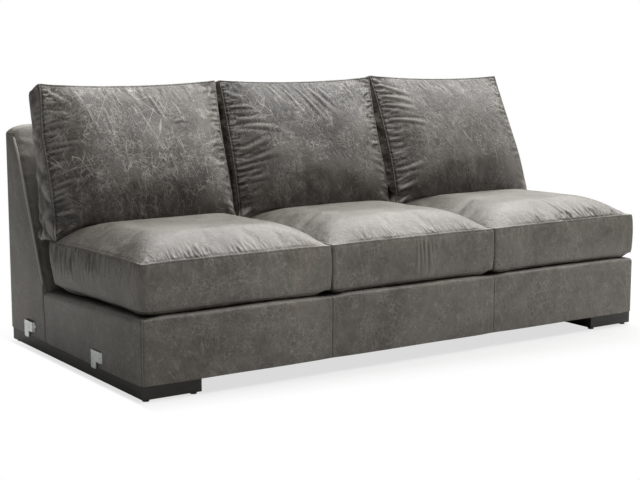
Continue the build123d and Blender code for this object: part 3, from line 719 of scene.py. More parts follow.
def cushion(kind, name, form, matrix, folds, flat, fill, ridges, pleats, pitches, tones=None, warp=None):
    """Leather cushion: a boxed form, settled as cloth, then sewn, creased and pressed flat where it rests.

    ridges has the near and the far seam's height and how pale their crests are rubbed and painted with highlight.
    pitches has the spacing of points across, along and round the boxing.
    """
    body = f"{kind}_cushion_{name}"
    points, pattern, faces = form.build(pitches[0], (0, 6, 14, 24), *pitches[1:])
    points = warp(points, pattern) if warp else points
    obj = make_object(body, to_frame(matrix, points, kind), faces, LEATHER)
    add_values(obj, "rest", pattern)
    face_normals_out(obj)
    near, far, on_box = form.seams(pattern)
    pins = bell(np.minimum(near, far), PIN_WIDTH) * SEAM_PIN
    simulate(obj, np.maximum(pins, np.where(on_box, BOXING_PIN, 0.0)))
    rest = subdivided(obj)
    place, normal = read(obj.data.vertices, "co") / MM, read(obj.data.vertices, "normal")
    near, far, on_box = form.seams(rest)
    creases = folds(rest, np.minimum(near, far), on_box)
    lift = creases + seam_profile(near, ridges[0]) + seam_profile(far, ridges[1])
    place = flat(place + normal * lift[:, None], rest)
    set_points(obj, place)
    # crease crests are rubbed pale with a painted highlight and their hollows darkened with painted shade; seam
    # crests likewise, seam grooves painted shade
    wear_and_shading = np.clip(CREASE_WEAR_AND_SHADING * creases, -0.5, 0.7)
    for distance, ridge in ((near, ridges[0]), (far, ridges[1])):
        wear_and_shading += ridge * (ridges[2] * bell(distance, 1.9) - 0.7 * bell(distance - GROOVE_AT, GROOVE_WIDTH))
    add_values(obj, "wear_and_shading", wear_and_shading)
    away = place[:, 0].mean() * 3  # so that no two cushions have the same marks
    add_values(obj, "pleat", pleats(rest, np.minimum(near, far), on_box) * [MM, MM, 1] + [away * MM, 0, 0])
    if tones:
        # the back cushions' fronts get long scratches and a share of painted shade
        streaks, shade = tones(rest)
        add_values(obj, "streaks", streaks)
        add_values(obj, "shade", shade)
        add_values(obj, "pattern", (rest + [away, 0, 0]) * MM)
    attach(obj, body)
    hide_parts(f"{kind}_cover_{name}")


FILLING_NAMES = {"seat": ("seat_foam", "seat_core"), "back": ("back_wadding", "back_fill")}


def filling(kind, name, form, matrix, flat, warp=None):
    """Foam or wadding under a cover, well inside it all round."""
    piece, node = FILLING_NAMES[kind]
    points, pattern, faces = form.build(30.0, (0, 12))
    points = warp(points, pattern) if warp else points
    a, b, c = points.T
    middle = form.boxing(b) / 2
    half_length = form.length / 2
    a = a * (1 - CORE_INSET / form.half)
    c = middle + (c - middle) * (1 - CORE_INSET / (middle + form.far_crown[0]) * 1.6)
    b = half_length + (b - half_length) * (1 - CORE_INSET / half_length)
    place = flat(to_frame(matrix, np.stack([a, b, c], -1), kind), pattern, CORE_CLEAR)
    obj = make_object(f"{piece}_{name}", place, faces, FOAM)
    face_normals_out(obj)
    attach(obj, f"{kind}_cushion_{name}")
    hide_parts(f"{node}_{name}")


# ---- planes that the soft pieces keep off ----
CORE_INSET = 22.0
DECK_CLEAR = 2.0
CONTACT_CLEAR = 0.6
BACK_CLEAR = 2.5
PRESS_REACH = 7.0  # how softly a seat's top bends down to that plane
CONTACT_SLOPE = math.tan(math.radians(BACK_CUSHION_LEAN))


def contact_z(y):
    """Height of the plane between seat and back cushions."""
    return BACK_CUSHION_SEAT - (y - FRONT - BACK_CUSHION_FOOT) * CONTACT_SLOPE


def pressed(y, z, inset=0.0):
    """Height of a seat cushion's top where the back cushion weighs on it."""
    over = z - contact_z(y) + CONTACT_CLEAR + inset
    return z - PRESS_REACH * np.logaddexp(0, over / PRESS_REACH)


def keep_seat(points, rest, inset=0.0):
    """Seat cushion flat on the deck and under the back cushion."""
    x, y, z = points.T
    z = np.maximum(z, deck_z(y) + DECK_CLEAR + inset)
    return np.stack([x, y, pressed(y, z, inset)], -1)


# ---- seat cushions ----
def seat_form(name):
    """Form of one seat cushion; the left one is fuller at its top and rounder below at its free side."""
    across, across_low = ((250.0, 4.6), (150.0, 3.0)) if name == "left" else ((285.0, 3.9), (70.0, 3.0))
    return Boxed(
        half=351.5,
        length=SEAT_DEPTH,
        near=(7.0, 1.0, 0.0),
        far=(9.0, 2.5, 3.5),
        draws=(4.0, 3.0, 3.0),
        crowns=(
            (48.0, across_low, (125.0, 3.0), (150.0, 3.0)),
            (68.0, across, (250.0, 4.6), (300.0, 4.6)),
        ),
        bulge=(5.0, SEAT_BOXING, SEAT_BOXING),
        soft_side=-1 if name == "left" else 0,
    )


SEAT_FORMS = {name: seat_form(name) for name in NAMES}
SEAT_SEEDS = {"left": 11, "middle": 23, "right": 37}
# bunches of puckers along the front top seam: middle, half width and strength, as shares of the seam
SEAT_BUNCHES = {
    "left": ((0.13, 0.07, 0.5), (0.29, 0.07, 1.0), (0.56, 0.10, 0.6), (0.85, 0.08, 0.25)),
    "middle": ((0.20, 0.03, 0.8), (0.35, 0.05, 0.9), (0.62, 0.05, 0.7), (0.86, 0.09, 0.6)),
    "right": ((0.33, 0.06, 1.0), (0.55, 0.10, 1.5), (0.72, 0.09, 1.5), (0.88, 0.05, 0.8)),
}


def bunches(name):
    """Strength of the puckers at a share t of the way along the seam."""
    return lambda t: 0.12 + sum(strength * bell(t - middle, half) for middle, half, strength in SEAT_BUNCHES[name])


def rearward(t):
    """Strength of the side boxing's creases at a share t of the way to the rear."""
    return 0.3 + 0.9 * ramp(t, 0.3, 0.75)


# rows of creases on a seat cushion: heading, reach, spacing, depth, width and spread
SHORT_FRONT_ROW = 92, (22, 60), 12, 3.6, 5.2, 13
LONG_FRONT_ROW = 96, (50, 110), 36, 2.0, 9.0, 12
SIDE_BOXING_ROW = -90, (60, 150), 12, 3.6, 6.0, 6
FRONT_BOXING_ROW = -90, (30, 90), 30, 0.8, 7.0, 10
SIDE_SEAM_ROW = (20, 55), 24, 1.3, 6.5, 12  # its heading is inwards from either side
ZIP_PANEL_END = 650  # along the side boxing
# five upright creases on the middle cushion's front: place across, heading and height
FRONT_CREASES = ((8, -92, 2.2), (22, -88, 2.8), (40, -91, 3.4), (58, -87, 2.1), (74, -90, 1.3))


def seat_folds(name):
    """Height of a seat cushion's creases over its pattern: off its seams, and down its boxing."""
    seed, bunched = SEAT_SEEDS[name], bunches(name)
    half, length = SEAT_FORMS[name].half, SEAT_DEPTH

    def folds(rest, distance, on_box):
        a, b, c = rest.T
        top = (c >= SEAT_BOXING - 0.5).astype(float)
        front_seam = (-half, 5), (half, 5)
        height = top * puckers(a, b, seed, *front_seam, *SHORT_FRONT_ROW, bunched)
        height += top * puckers(a, b, seed + 1, *front_seam, *LONG_FRONT_ROW, bunched)
        for edge, heading in ((-half, 0), (half, 180)):
            seam = (edge, 0), (edge, length)
            height += top * puckers(a, b, seed + 3 + heading, *seam, heading, *SIDE_SEAM_ROW)
        for k, edge in enumerate((-half, half)):
            side = on_box * (np.abs(a - edge) < 1)
            seam = (0, SEAT_BOXING), (length, SEAT_BOXING)
            height += side * puckers(b, c, seed + 7 + k, *seam, *SIDE_BOXING_ROW, rearward)
            # the zip panel's end, folded under at the rear corner
            tuck = 1.6 * bell(c - 78, 3.5) - 2.2 * bell(c - 71, 3.2) + 1.6 * bell(c - 64, 3.5)
            end_step = ramp(b, ZIP_PANEL_END - 2, ZIP_PANEL_END + 6) * tuck
            height += side * (end_step - 1.4 * bell(b - ZIP_PANEL_END, 3.5) * ramp(c, 30, 60))
        front = on_box * (b < 1)
        upper_seam = (-half, SEAT_BOXING), (half, SEAT_BOXING)
        height += front * puckers(a, c, seed + 5, *upper_seam, *FRONT_BOXING_ROW)
        if name == "middle":
            for x, heading, size in FRONT_CREASES:
                height += front * fold(a, c, (x, 146), heading, 170, 6.5, size, 0.03)
        return height + 0.5 * swell(rest, seed + 60, 200) * ramp(distance, 5, 60)

    return folds


SIDES_APART = 3000.0  # shifts the pattern, so that a side's gathers differ from the front's


def seat_pleats(name):
    """Gathers of the top along its front seam, and of the side boxing under its top seam."""
    half = SEAT_FORMS[name].half
    gathered = bunches(name)

    def pleats(rest, distance, on_box):
        a, b, c = rest.T
        top = (c >= SEAT_BOXING - 0.5)[:, None]
        sides = (on_box & (np.abs(np.abs(a) - half) < 1))[:, None]
        front = gathered(a / (2 * half) + 0.5) * np.exp(-b / 32) * ramp(b, 1, 8) * ramp(half - np.abs(a), 4, 30)
        down = SEAT_BOXING - c
        side = (0.2 + 0.8 * ramp(b / SEAT_DEPTH, 0.25, 0.7)) * bell(down, 85) * ramp(down, 1, 7)
        elsewhere = np.where(sides, np.stack([b + SIDES_APART, down, side], -1), np.stack([a, b, 0 * a], -1))
        return np.where(top, np.stack([a, b, front], -1), elsewhere)

    return pleats


SEAT_RIDGES = (0.25, 0.4, 0.0)
SEAT_PITCHES = (15.0, 20.5, 25.0)
for name in NAMES:
    matrix = placed(-SEAT_TILT, (SEAT_CENTERS[name], FRONT, SEAT_SEAM))
    form = SEAT_FORMS[name]
    extras = SEAT_RIDGES, seat_pleats(name), SEAT_PITCHES
    cushion("seat", name, form, matrix, seat_folds(name), keep_seat, 0.85, *extras)
    filling("seat", name, form, matrix, keep_seat)


# ---- back cushions ----
BACK_FORM = Boxed(
    half=347.0,
    length=BACK_CUSHION_HEIGHT,
    near=(10.0, 0.0, 5.0),
    far=(18.0, 0.0, 0.0),
    draws=(8.0, 0.0, 9.0),
    crowns=(
        (53.0, (250.0, 3.4), (190.0, 3.4), (300.0, 2.1)),
        (80.0, (250.0, 3.0), (180.0, 3.0), (230.0, 3.0)),
    ),
    bulge=(8.0, BACK_BOXING_FOOT, BACK_BOXING_TOP),
)
BACK_SEEDS = {"left": 101, "middle": 211, "right": 307}
# chosen folds of each front: across, along, heading, length, width, height and bend
BACK_FOLDS = {
    "left": (
        (42, 486, -70, 175, 6.5, 2.2, 0.02), (-27, 488, -62, 90, 6.0, 1.3, 0.05),
        (-140, 420, -82, 190, 6.0, 1.1, 0.03), (-203, 430, -78, 160, 6.0, 1.0, 0.03),
        (-90, 492, -70, 70, 6.0, 1.1, 0.0), (150, 492, -72, 90, 6.0, 1.3, 0.04), (212, 492, -80, 80, 6.0, 1.5, 0.05),
        (120, 350, 8, 75, 8.0, 1.8, 0.1), (-335, 498, -42, 130, 10.0, 3.0, 0.05),
        (335, 500, -120, 110, 11.0, 2.8, -0.05), (318, 500, -100, 90, 8.0, 2.0, 0.0),
        (-338, 372, -4, 95, 7.0, 2.4, 0.05), (-338, 304, -7, 125, 7.0, 3.0, -0.02),
        (-338, 140, 3, 130, 8.0, 2.6, 0.25), (340, 265, 178, 80, 8.0, 2.2, 0.1), (340, 190, 186, 70, 8.0, 2.0, 0.1),
    ),
    "middle": (
        (-150, 494, -62, 90, 8.0, 2.0, 0.0), (-94, 494, -63, 205, 7.0, 2.2, 0.03),
        (-34, 494, -60, 235, 8.0, 3.0, 0.05), (22, 494, -56, 215, 11.0, 3.0, 0.05),
        (70, 494, -62, 130, 8.0, 1.6, 0.02), (200, 490, -66, 100, 8.0, 1.6, 0.0),
        (-338, 470, -32, 90, 10.0, 3.2, 0.1), (-338, 352, 3, 160, 9.0, 3.2, -0.12),
        (-338, 330, -3, 230, 9.0, 2.6, -0.1), (-338, 232, 13, 165, 9.5, 3.4, 0.05),
        (-338, 185, 9, 190, 9.5, 3.2, 0.05), (-338, 118, 3, 130, 8.5, 2.8, 0.1), (-338, 70, 0, 90, 8.0, 2.4, 0.1),
        (338, 455, 200, 75, 8.0, 2.6, 0.1), (338, 400, 196, 80, 8.0, 2.6, 0.1), (338, 310, 188, 80, 8.0, 2.4, 0.1),
        (338, 240, 190, 70, 8.0, 2.4, 0.0),
    ),
    "right": (
        (-338, 480, -20, 200, 9.0, 2.6, -0.02), (-338, 430, -12, 180, 9.0, 2.8, -0.03),
        (-338, 392, -10, 170, 8.0, 2.8, -0.05), (-338, 330, -8, 215, 8.0, 3.2, -0.04),
        (-338, 262, 8, 90, 8.0, 2.6, 0.1), (-338, 214, 6, 80, 8.0, 2.6, 0.1), (-338, 120, 4, 150, 9.0, 3.0, 0.1),
        (-338, 60, 2, 100, 8.0, 2.4, 0.1), (-120, 494, -60, 70, 8.0, 1.8, 0.0), (-20, 494, -52, 90, 8.0, 1.8, 0.0),
        (330, 490, -118, 90, 9.0, 2.2, 0.0), (338, 350, 184, 70, 8.0, 1.8, 0.1),
    ),
}


# rows of creases on a back cushion: heading, reach, spacing, depth, width and spread
BACK_TOP_ROW = -74, (30, 120), 30, 1.0, 7.0, 9
BACK_FOOT_ROW = 90, (20, 50), 40, 1.0, 8.0, 12
BACK_BOXING_ROW = 90, (30, 90), 16, 2.0, 6.5, 10
# creases along the side seams: reach, spacing, depth and width of each row, and how deep on each cushion
PUCKER_ROWS = (((18, 40), 11, 1.1, 4.4), ((30, 70), 17, 1.7, 5.2), ((60, 125), 27, 2.1, 7.5))
PUCKER = {"left": 2.2, "middle": 1.7, "right": 1.3}
CORNER_SWELL = 4.5


def back_folds(name):
    """Height of a back cushion's creases: chosen folds, rows off its seams, and bunched lower corners."""
    seed = BACK_SEEDS[name]
    half, length = BACK_FORM.half, BACK_CUSHION_HEIGHT

    def folds(rest, distance, on_box):
        a, b, c = rest.T
        front = (c <= 0.5).astype(float)
        height = np.zeros_like(a)
        for across, along, *shape in BACK_FOLDS[name]:
            height += front * fold(a, b, (across, along), *shape)
        for edge, heading, strength in ((-half, 0, PUCKER[name]), (half, 180, 0.9)):
            seam = (edge, 15), (edge, length - 15)
            for k, (reach, spacing, depth, width) in enumerate(PUCKER_ROWS):
                row = seed + 2 * k + heading, *seam, heading, reach, spacing, depth * strength, width, 9
                height += front * puckers(a, b, *row)
        top_seam = (-half, length - 4), (half, length - 4)
        height += front * puckers(a, b, seed + 9, *top_seam, *BACK_TOP_ROW)
        height += front * puckers(a, b, seed + 17, (-half, 6), (half, 6), *BACK_FOOT_ROW)
        for k, edge in enumerate((-half, half)):
            side = on_box * (np.abs(a - edge) < 1)
            height += side * puckers(b, c, seed + 900 + k, (0, 4), (length, 4), *BACK_BOXING_ROW)
            height += side * (2.6 * swell(rest, seed + 70 + k, 60) * ramp(distance, 4, 30))
        # the lower corners bunch up where they hang over the seat
        corner = ramp(np.abs(a), half - 75, half - 5) * (1 - ramp(b, 20, 110))
        height += corner * CORNER_SWELL * swell(rest, seed + 81, 52)
        return height + 0.9 * swell(rest, seed + 60, 170) * ramp(distance, 5, 60)

    return folds


def seat_top(name, across, y):
    """Height of a seat cushion's top at a distance from its middle."""
    along = y - FRONT
    form = SEAT_FORMS[name]
    crown = form.crown(across, along, form.far_crown)
    return pressed(y, SEAT_SEAM + SEAT_BOXING + crown - along * math.tan(math.radians(SEAT_TILT)))


MOST_SAG, SAG_CLEAR = 44.0, 0.8


def keep_back(points, rest, inset=0.0):
    """Back cushion flat on the seat and against the inside back; its lower corners hang a little."""
    x, y, z = points.T
    a, b, c = rest.T
    name = NAMES[round(x.mean() / SEAT_PITCH) + 1]
    z = np.maximum(z, contact_z(y) + CONTACT_CLEAR + inset)
    if inset == 0.0:
        # where the seat falls away beside its crown, the cushion follows it down
        gap = contact_z(y) - seat_top(name, x - SEAT_CENTERS[name], y) - SAG_CLEAR
        z = z - np.clip(gap, 0, MOST_SAG) * (1 - 0.5 * ramp(c, 60, 200)) * (1 - ramp(b, 0, 190))
    y = np.minimum(y, lean_y(z) - (BACK_CLEAR + inset) / math.cos(math.radians(BACK_LEAN)))
    return np.stack([x, y, z], -1)


# how far each side edge stands to the right of its nominal place, at the foot and at the top
BACK_SIDES = {"left": ((0, 0), (0, 4)), "middle": ((0, 8), (0, 0)), "right": ((13, -7), (17, -49))}
BACK_RISE = {"left": (0, 0), "middle": (0, 0), "right": (6, -8)}  # how far each top corner stands up
BACK_SET = {"left": 56.0, "middle": 8.0, "right": 0.0}  # how far the left front seam is drawn back


def back_warp(name):
    """Moves a plain back cushion's points to the slumped outline of one of the three."""
    left, right = BACK_SIDES[name]

    def warp(points, pattern):
        a, b, c = points.T
        share = (pattern[:, 0] / BACK_FORM.half + 1) / 2
        up = np.clip(b / BACK_CUSHION_HEIGHT, 0, 1)
        edges = [foot + (top - foot) * up**1.6 for foot, top in (left, right)]
        moved = a + edges[0] * (1 - share) + edges[1] * share
        edge = np.clip(1 - share * 2 * BACK_FORM.half / 170, 0, 1) ** 2
        near = 1 - pattern[:, 2] / BACK_FORM.boxing(pattern[:, 1])
        down = BACK_CUSHION_HEIGHT - pattern[:, 1]
        drawn = BACK_SET[name] * ramp(down, 0, 190) - 8 * (1 - ramp(down, 0, 90)) * (name == "left")
        rise = BACK_RISE[name][0] * (1 - share) + BACK_RISE[name][1] * share
        return np.stack([moved, b + rise * up**2, c + drawn * edge * near], -1)

    return warp


def back_tones(name):
    """Long scratches show on the front, most of all on its upper part; painted shade darkens it, by a share given
    low, midway and high up on each front.
    """
    most, shades = {
        "left": (1.0, (0.64, 0.42, 0.10)),
        "middle": (0.65, (0.60, 0.52, 0.95)),
        "right": (0.5, (0.62, 0.22, 0.70)),
    }[name]

    def tones(rest):
        a, b, c = rest.T
        front = c <= 0.5
        return most * front * (0.35 + 0.65 * ramp(b, 90, 280)), front * np.interp(b, (60, 250, 440), shades)

    return tones


def back_pleats(name):
    """Gathers of the front along its side seams."""
    half = BACK_FORM.half
    left, right, reach = {"left": (1.0, 0.6, 34), "middle": (1.0, 0.7, 38), "right": (0.9, 0.35, 30)}[name]

    def pleats(rest, distance, on_box):
        a, b, c = rest.T
        away = half - np.abs(a)
        ends = ramp(b, 4, 50) * ramp(BACK_CUSHION_HEIGHT - b, 4, 50)
        strength = np.where(a < 0, left, right) * np.exp(-((away / reach) ** 1.5)) * ramp(away, 1, 7) * ends
        shift = np.where(a < 0, SIDES_APART / 3, SIDES_APART * 2 / 3)
        return np.stack([b + shift, away, strength * (c <= 0.5)], -1)

    return pleats


BACK_RIDGES = (0.85, 0.7, 0.9)
BACK_PITCHES = (18.5, 14.0, 18.5)
for name in NAMES:
    matrix = placed(-BACK_CUSHION_LEAN, (SEAT_CENTERS[name], FRONT + BACK_CUSHION_FOOT, BACK_CUSHION_SEAT))
    extras = BACK_RIDGES, back_pleats(name), BACK_PITCHES, back_tones(name), back_warp(name)
    cushion("back", name, BACK_FORM, matrix, back_folds(name), keep_back, 0.65, *extras)
    filling("back", name, BACK_FORM, matrix, keep_back, back_warp(name))


# ---- leather of the frame ----
SKIN = 2.0
PROUD = 1.4  # how far a panel stands off its nominal face beside a seam
BASE_ROUND = 14.0
BACK_ROUND = 9.0
FAR = 1e6
FINE_EDGE = (0, 1.3, 2.6, 4.2, 6.2, 9, 13, 18, 25)


def soften(points, low, high, radius):
    """Points of a sharp block moved onto the same block with round edges."""
    core = np.clip(points, np.array(low) + radius, np.array(high) - radius)
    off = points - core
    length = np.linalg.norm(off, axis=-1, keepdims=True)
    return np.where(length > 1e-6, core + off * radius / np.maximum(length, 1e-6), points)


def base_skin(points):
    """Rounds the seat base's front, side and top edges."""
    level = points.copy()
    level[..., 2] -= deck_z(points[..., 1])
    level = soften(level, (-HALF_WIDTH, FRONT, -FAR), (HALF_WIDTH, FAR, 0), BASE_ROUND)
    level[..., 2] += deck_z(level[..., 1])
    return level


LEATHER_FALL, FOAM_FALL = 23.0, 26.0  # depths of the fall in the leather and in the foam


def top_fall(x, z, depth):
    """How far the back's top falls away towards both of its ends."""
    inward = np.clip((HALF_WIDTH - np.abs(x)) / 110, 0, 1)
    return depth * (1 - inward) ** 2 * ramp(z, BACK_TOP - 120, BACK_TOP)


def back_skin(points):
    """Rounds the back's edges: first those of its leaning face, then those of its rear."""
    upright = points.copy()
    upright[..., 1] -= lean_y(points[..., 2])
    upright = soften(upright, (-HALF_WIDTH, 0, -FAR), (HALF_WIDTH, FAR, BACK_TOP), BACK_ROUND)
    upright[..., 1] += lean_y(upright[..., 2])
    soft = soften(upright, (-HALF_WIDTH, -FAR, -FAR), (HALF_WIDTH, REAR, BACK_TOP), BACK_ROUND)
    soft[..., 2] -= top_fall(soft[..., 0], soft[..., 2], LEATHER_FALL)
    return soft


def edge_distances(p, q):
    """Distances to the four sides of a pattern whose rows and columns lie at p and q."""
    return p[:, None] - p[0], p[-1] - p[:, None], q[None, :] - q[0], q[-1] - q[None, :]


# a point within the seat base and one within the back, which tell a panel's outer side
BASE_CORE, BACK_CORE = np.array([0, 0, 150]), np.array([0, 250.0, 150])


def upholster(name, sharp, rounding, runs, crown, seed, node_names, ridges=(1, 1, 0, 0), extra=None):
    """Leather panel over a block: rounded, crowned between its sewn edges and sewn along them.

    ridges has one number for each edge: how far its seam stands up, 0 for an edge that isn't sewn
    and below 0 for one that is pulled in.
    """
    grid = rounding(sharp)
    normal = grid_normals(grid)
    center = grid.shape[0] // 2, grid.shape[1] // 2
    outward = grid[center] - (BACK_CORE if grid[center][1] > BACK_CORE[1] - 50 else BASE_CORE)
    if (normal[center] * outward).sum() < 0:
        grid, normal = grid[:, ::-1], -normal[:, ::-1]
        runs = (runs[0], (runs[1][-1] - runs[1])[::-1])
        ridges = (ridges[0], ridges[1], ridges[3], ridges[2])
    p, q = runs
    distances = [d + np.zeros(grid.shape[:2]) for d in edge_distances(p, q)]
    lift = np.ones(grid.shape[:2])
    near = lift * FAR
    for distance, ridge in zip(distances, ridges):
        if ridge:
            lift *= ramp(distance, 0, 80)
            near = np.minimum(near, distance)
    lift = PROUD + crown * lift + 0.8 * swell(grid, seed, 260) * ramp(near, 4, 60)
    wear_and_shading = np.zeros(grid.shape[:2])
    for distance, ridge in zip(distances, ridges):
        # a sewn seam's crest is rubbed pale, partly as painted highlight, and its groove is darkened with painted
        # shade
        if ridge > 0:
            width = 2.5 * math.sqrt(ridge)
            crest, groove = bell(distance, width), bell(distance - 2.6 * width, width)
            lift += width * (0.55 * crest - 0.75 * groove)
            wear_and_shading += 0.35 * width * (crest - 0.85 * groove)
        elif ridge < 0:
            # pulled in to a thin line darkened with painted shade, with a rubbed edge beside it that is partly
            # painted highlight
            lift += 1.7 * ridge * bell(distance, 1.6)
            wear_and_shading += ridge * (1.2 * bell(distance, 1.7) - 0.35 * bell(distance - 4.6, 1.7))
    creases = np.zeros(grid.shape[:2]) if extra is None else extra(grid, distances)
    grid = grid + normal * (lift + creases)[..., None]
    obj = shell(name, grid, SKIN - 0.4, LEATHER)
    wear_and_shading = wear_and_shading + np.clip(PANEL_CREASE_WEAR_AND_SHADING * creases, -0.25, 0.5)
    add_values(obj, "wear_and_shading", np.tile(wear_and_shading.ravel(), 2))
    face_normals_out(obj)
    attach(obj, "frame")
    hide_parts(*node_names)


FRONT_LIP = 60.0
SIDE_LIP = 45.0
FRONT_HEIGHT = SEAT_EDGE_TOP - BASE_Z


LIP_EDGE = (0, 2, 5, 9, 14, 20)


def front_panel(name, x0, x1, left_corner, right_corner, seams=(-0.4, -0.9)):
    """Front border panel, up the front and over onto the deck, mitred at the sofa's corners."""
    p = graded(x1 - x0, 9.0, FINE_EDGE)
    s = graded(FRONT_HEIGHT + FRONT_LIP, 8.0, LIP_EDGE)
    over = np.clip(s - FRONT_HEIGHT, 0, None)
    y = FRONT + over
    z = np.where(s < FRONT_HEIGHT, BASE_Z + s, deck_z(y))
    low = x0 + (over if left_corner else 0 * over)
    high = x1 - (over if right_corner else 0 * over)
    share = (p / p[-1])[:, None]
    x = low[None, :] + (high - low)[None, :] * share
    sharp = np.stack([x, y[None, :] + 0 * x, z[None, :] + 0 * x], -1)
    ridges = (0.5 if left_corner else seams[0], 0.5 if right_corner else seams[1], 0, 0)
    seed = 1400 + int(x0)
    upholster(f"leather_front_{name}", sharp, base_skin, (p, s), 4.5, seed, [f"front_panel_{name}"], ridges)


edges = [-HALF_WIDTH, -SEAT_PITCH / 2, SEAT_PITCH / 2, HALF_WIDTH]
for i, name in enumerate(NAMES):
    front_panel(name, edges[i], edges[i + 1], i == 0, i == 2)


SIDE_RUN, BACK_RUN = 750.0, 200.0  # about how far the side panels of seat and back run


def seat_side(name, side):
    """Side of the seat base, up and over onto the deck."""
    p = graded(1.0, 0.0125, np.array(FINE_EDGE) / SIDE_RUN)
    s = graded(FRONT_HEIGHT + SIDE_LIP, 8.0, LIP_EDGE)
    over = np.clip(s - FRONT_HEIGHT, 0, None)
    share = np.clip(s / FRONT_HEIGHT, 0, 1)
    start = FRONT + over
    rear_top = deck_z(FRONT + BACK_FOOT)
    end_z = BASE_Z + share * (rear_top - BASE_Z)
    end = seam_y(end_z)
    y = start[None, :] + (end - start)[None, :] * p[:, None]
    z = BASE_Z + share[None, :] * (deck_z(y) - BASE_Z)
    x = side * (HALF_WIDTH - over)[None, :] + 0 * y
    sharp = np.stack([x, y, z], -1)
    runs, nodes = (p * SIDE_RUN, s), [f"seat_side_panel_{name}"]
    upholster(f"leather_seat_side_{name}", sharp, base_skin, runs, 3.5, 500 + side, nodes, (0.5, -1.2, 0, 0))


def back_side(name, side):
    """Side of the back, from the seat's side seam and the leaning edge to the rear."""
    height = BACK_TOP - BASE_Z
    q = graded(height, 10.0, FINE_EDGE)
    z = BASE_Z + q
    low = np.where(z < BACK_FOOT_HEIGHT, seam_y(z), lean_y(z))
    span = REAR - low
    p = graded(1.0, 0.03, np.array(FINE_EDGE) / BACK_RUN)
    y = low[None, :] + span[None, :] * p[:, None]
    sharp = np.stack([side * HALF_WIDTH + 0 * y, y, z[None, :] + 0 * y], -1)
    runs, nodes = (p * BACK_RUN, q), [f"back_side_panel_{name}"]
    upholster(f"leather_back_side_{name}", sharp, back_skin, runs, 2.5, 600 + side, nodes, (0.35, 0.6, 0, 0.5))


WELT_TIP, WELT_RADIUS = 1.5, 4.2
WELT_OUT, WELT_FORWARD = 0.8, 1.2  # how far its middle stands off the edge of the back
# the whole welt is rubbed pale, partly as painted highlight
WELT_WEAR_AND_SHEEN = 1.6


def welt(name, side):
    """Leather-covered cord sewn between the inside back and a side panel, up the leaning edge."""
    around = 10
    z = graded(BACK_TOP - BACK_FOOT_HEIGHT - 6, 12.0) + BACK_FOOT_HEIGHT - 8
    radius = WELT_TIP + (WELT_RADIUS - WELT_TIP) * ramp(np.minimum(z - z[0], z[-1] - z), 0, 12)
    x = side * (HALF_WIDTH + WELT_OUT) + 0 * z
    center = np.stack([x, lean_y(z) - WELT_FORWARD, z - top_fall(x, z, LEATHER_FALL)], -1)
    turn = np.linspace(0, 2 * math.pi, around, endpoint=False)
    lean = math.radians(BACK_LEAN)
    first, second = np.array([1, 0, 0]), np.array([0, math.cos(lean), -math.sin(lean)])
    ring = np.cos(turn)[:, None] * first + np.sin(turn)[:, None] * second
    points = (center[:, None] + radius[:, None, None] * ring).reshape(-1, 3)
    count = len(z)
    faces = [tuple(range(around)), tuple((count - 1) * around + k for k in range(around))]
    for i in range(count - 1):
        for k in range(around):
            m = (k + 1) % around
            faces.append((i * around + k, i * around + m, (i + 1) * around + m, (i + 1) * around + k))
    obj = make_object(f"welt_{name}", points, faces, LEATHER)
    face_normals_out(obj)
    add_values(obj, "wear_and_shading", [WELT_WEAR_AND_SHEEN] * len(points))
    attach(obj, "frame")


for side, name in ((-1, "left"), (1, "right")):
    seat_side(name, side)
    back_side(name, side)
    welt(name, side)


INSIDE_BACK_ROW = -20, (40, 110), 50, 4.0, 8.0  # heading, reach, spacing, depth and width of its creases


def puffy(grid, distances):
    """The inside back swells beside its side seams, and creases there."""
    height = np.zeros(grid.shape[:2])
    for k, near in enumerate(distances[:2]):
        height += 5 * ramp(near, 2, 26) * (1 - ramp(near, 40, 130))
        height += puckers(near, grid[..., 2], 40 + k, (2, 300), (2, 780), *INSIDE_BACK_ROW)
    return height


def inside_back():
    """Inside of the back, up its lean and over the top."""
    slant_foot = deck_z(FRONT + BACK_FOOT) - 10
    slant = (BACK_TOP - slant_foot) / math.cos(math.radians(BACK_LEAN))
    top = REAR - lean_y(BACK_TOP)
    p = graded(2 * HALF_WIDTH, 12.0, FINE_EDGE)
    s = graded(slant + top, 10.0, FINE_EDGE)
    z = np.minimum(slant_foot + s * math.cos(math.radians(BACK_LEAN)), BACK_TOP)
    y = np.where(s < slant, lean_y(z), lean_y(BACK_TOP) + s - slant)
    x = -HALF_WIDTH + p
    sharp = np.stack(np.broadcast_arrays(x[:, None], y[None, :], z[None, :]), -1)
    nodes, ridges = ["inside_back_cover"], (0.35, 0.35, 0, 0.6)
    upholster("leather_inside_back", sharp, back_skin, (p, s), 1.0, 700, nodes, ridges, puffy)


def outside_back():
    """Rear of the back."""
    p = graded(2 * HALF_WIDTH, 12.0, FINE_EDGE)
    q = graded(BACK_TOP - BASE_Z, 12.0, FINE_EDGE)
    x, z = -HALF_WIDTH + p, BASE_Z + q
    sharp = np.stack(np.broadcast_arrays(x[:, None], REAR, z[None, :]), -1)
    nodes, ridges = ["outside_back_panel"], (0.6, 0.6, 0, 0.6)
    upholster("leather_outside_back", sharp, back_skin, (p, q), 2.5, 800, nodes, ridges)


def back_foam():
    """The back's padding, lower at both ends of its top as the leather over it is."""
    node_name = "back_padding"
    made = frame["nodes"][node_name]
    obj = bpy.data.objects.new("back_foam", made.data.copy())
    bpy.context.scene.collection.objects.link(obj)
    matrix = np.array(made.matrix_world)
    points = (read(obj.data.vertices, "co") @ matrix[:3, :3].T + matrix[:3, 3]) / MM
    points[:, 2] -= top_fall(points[:, 0], points[:, 2], FOAM_FALL)
    set_points(obj, points)
    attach(obj, "frame")
    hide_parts(node_name)


inside_back()
outside_back()
back_foam()


CLOTH_SAG = 4.0


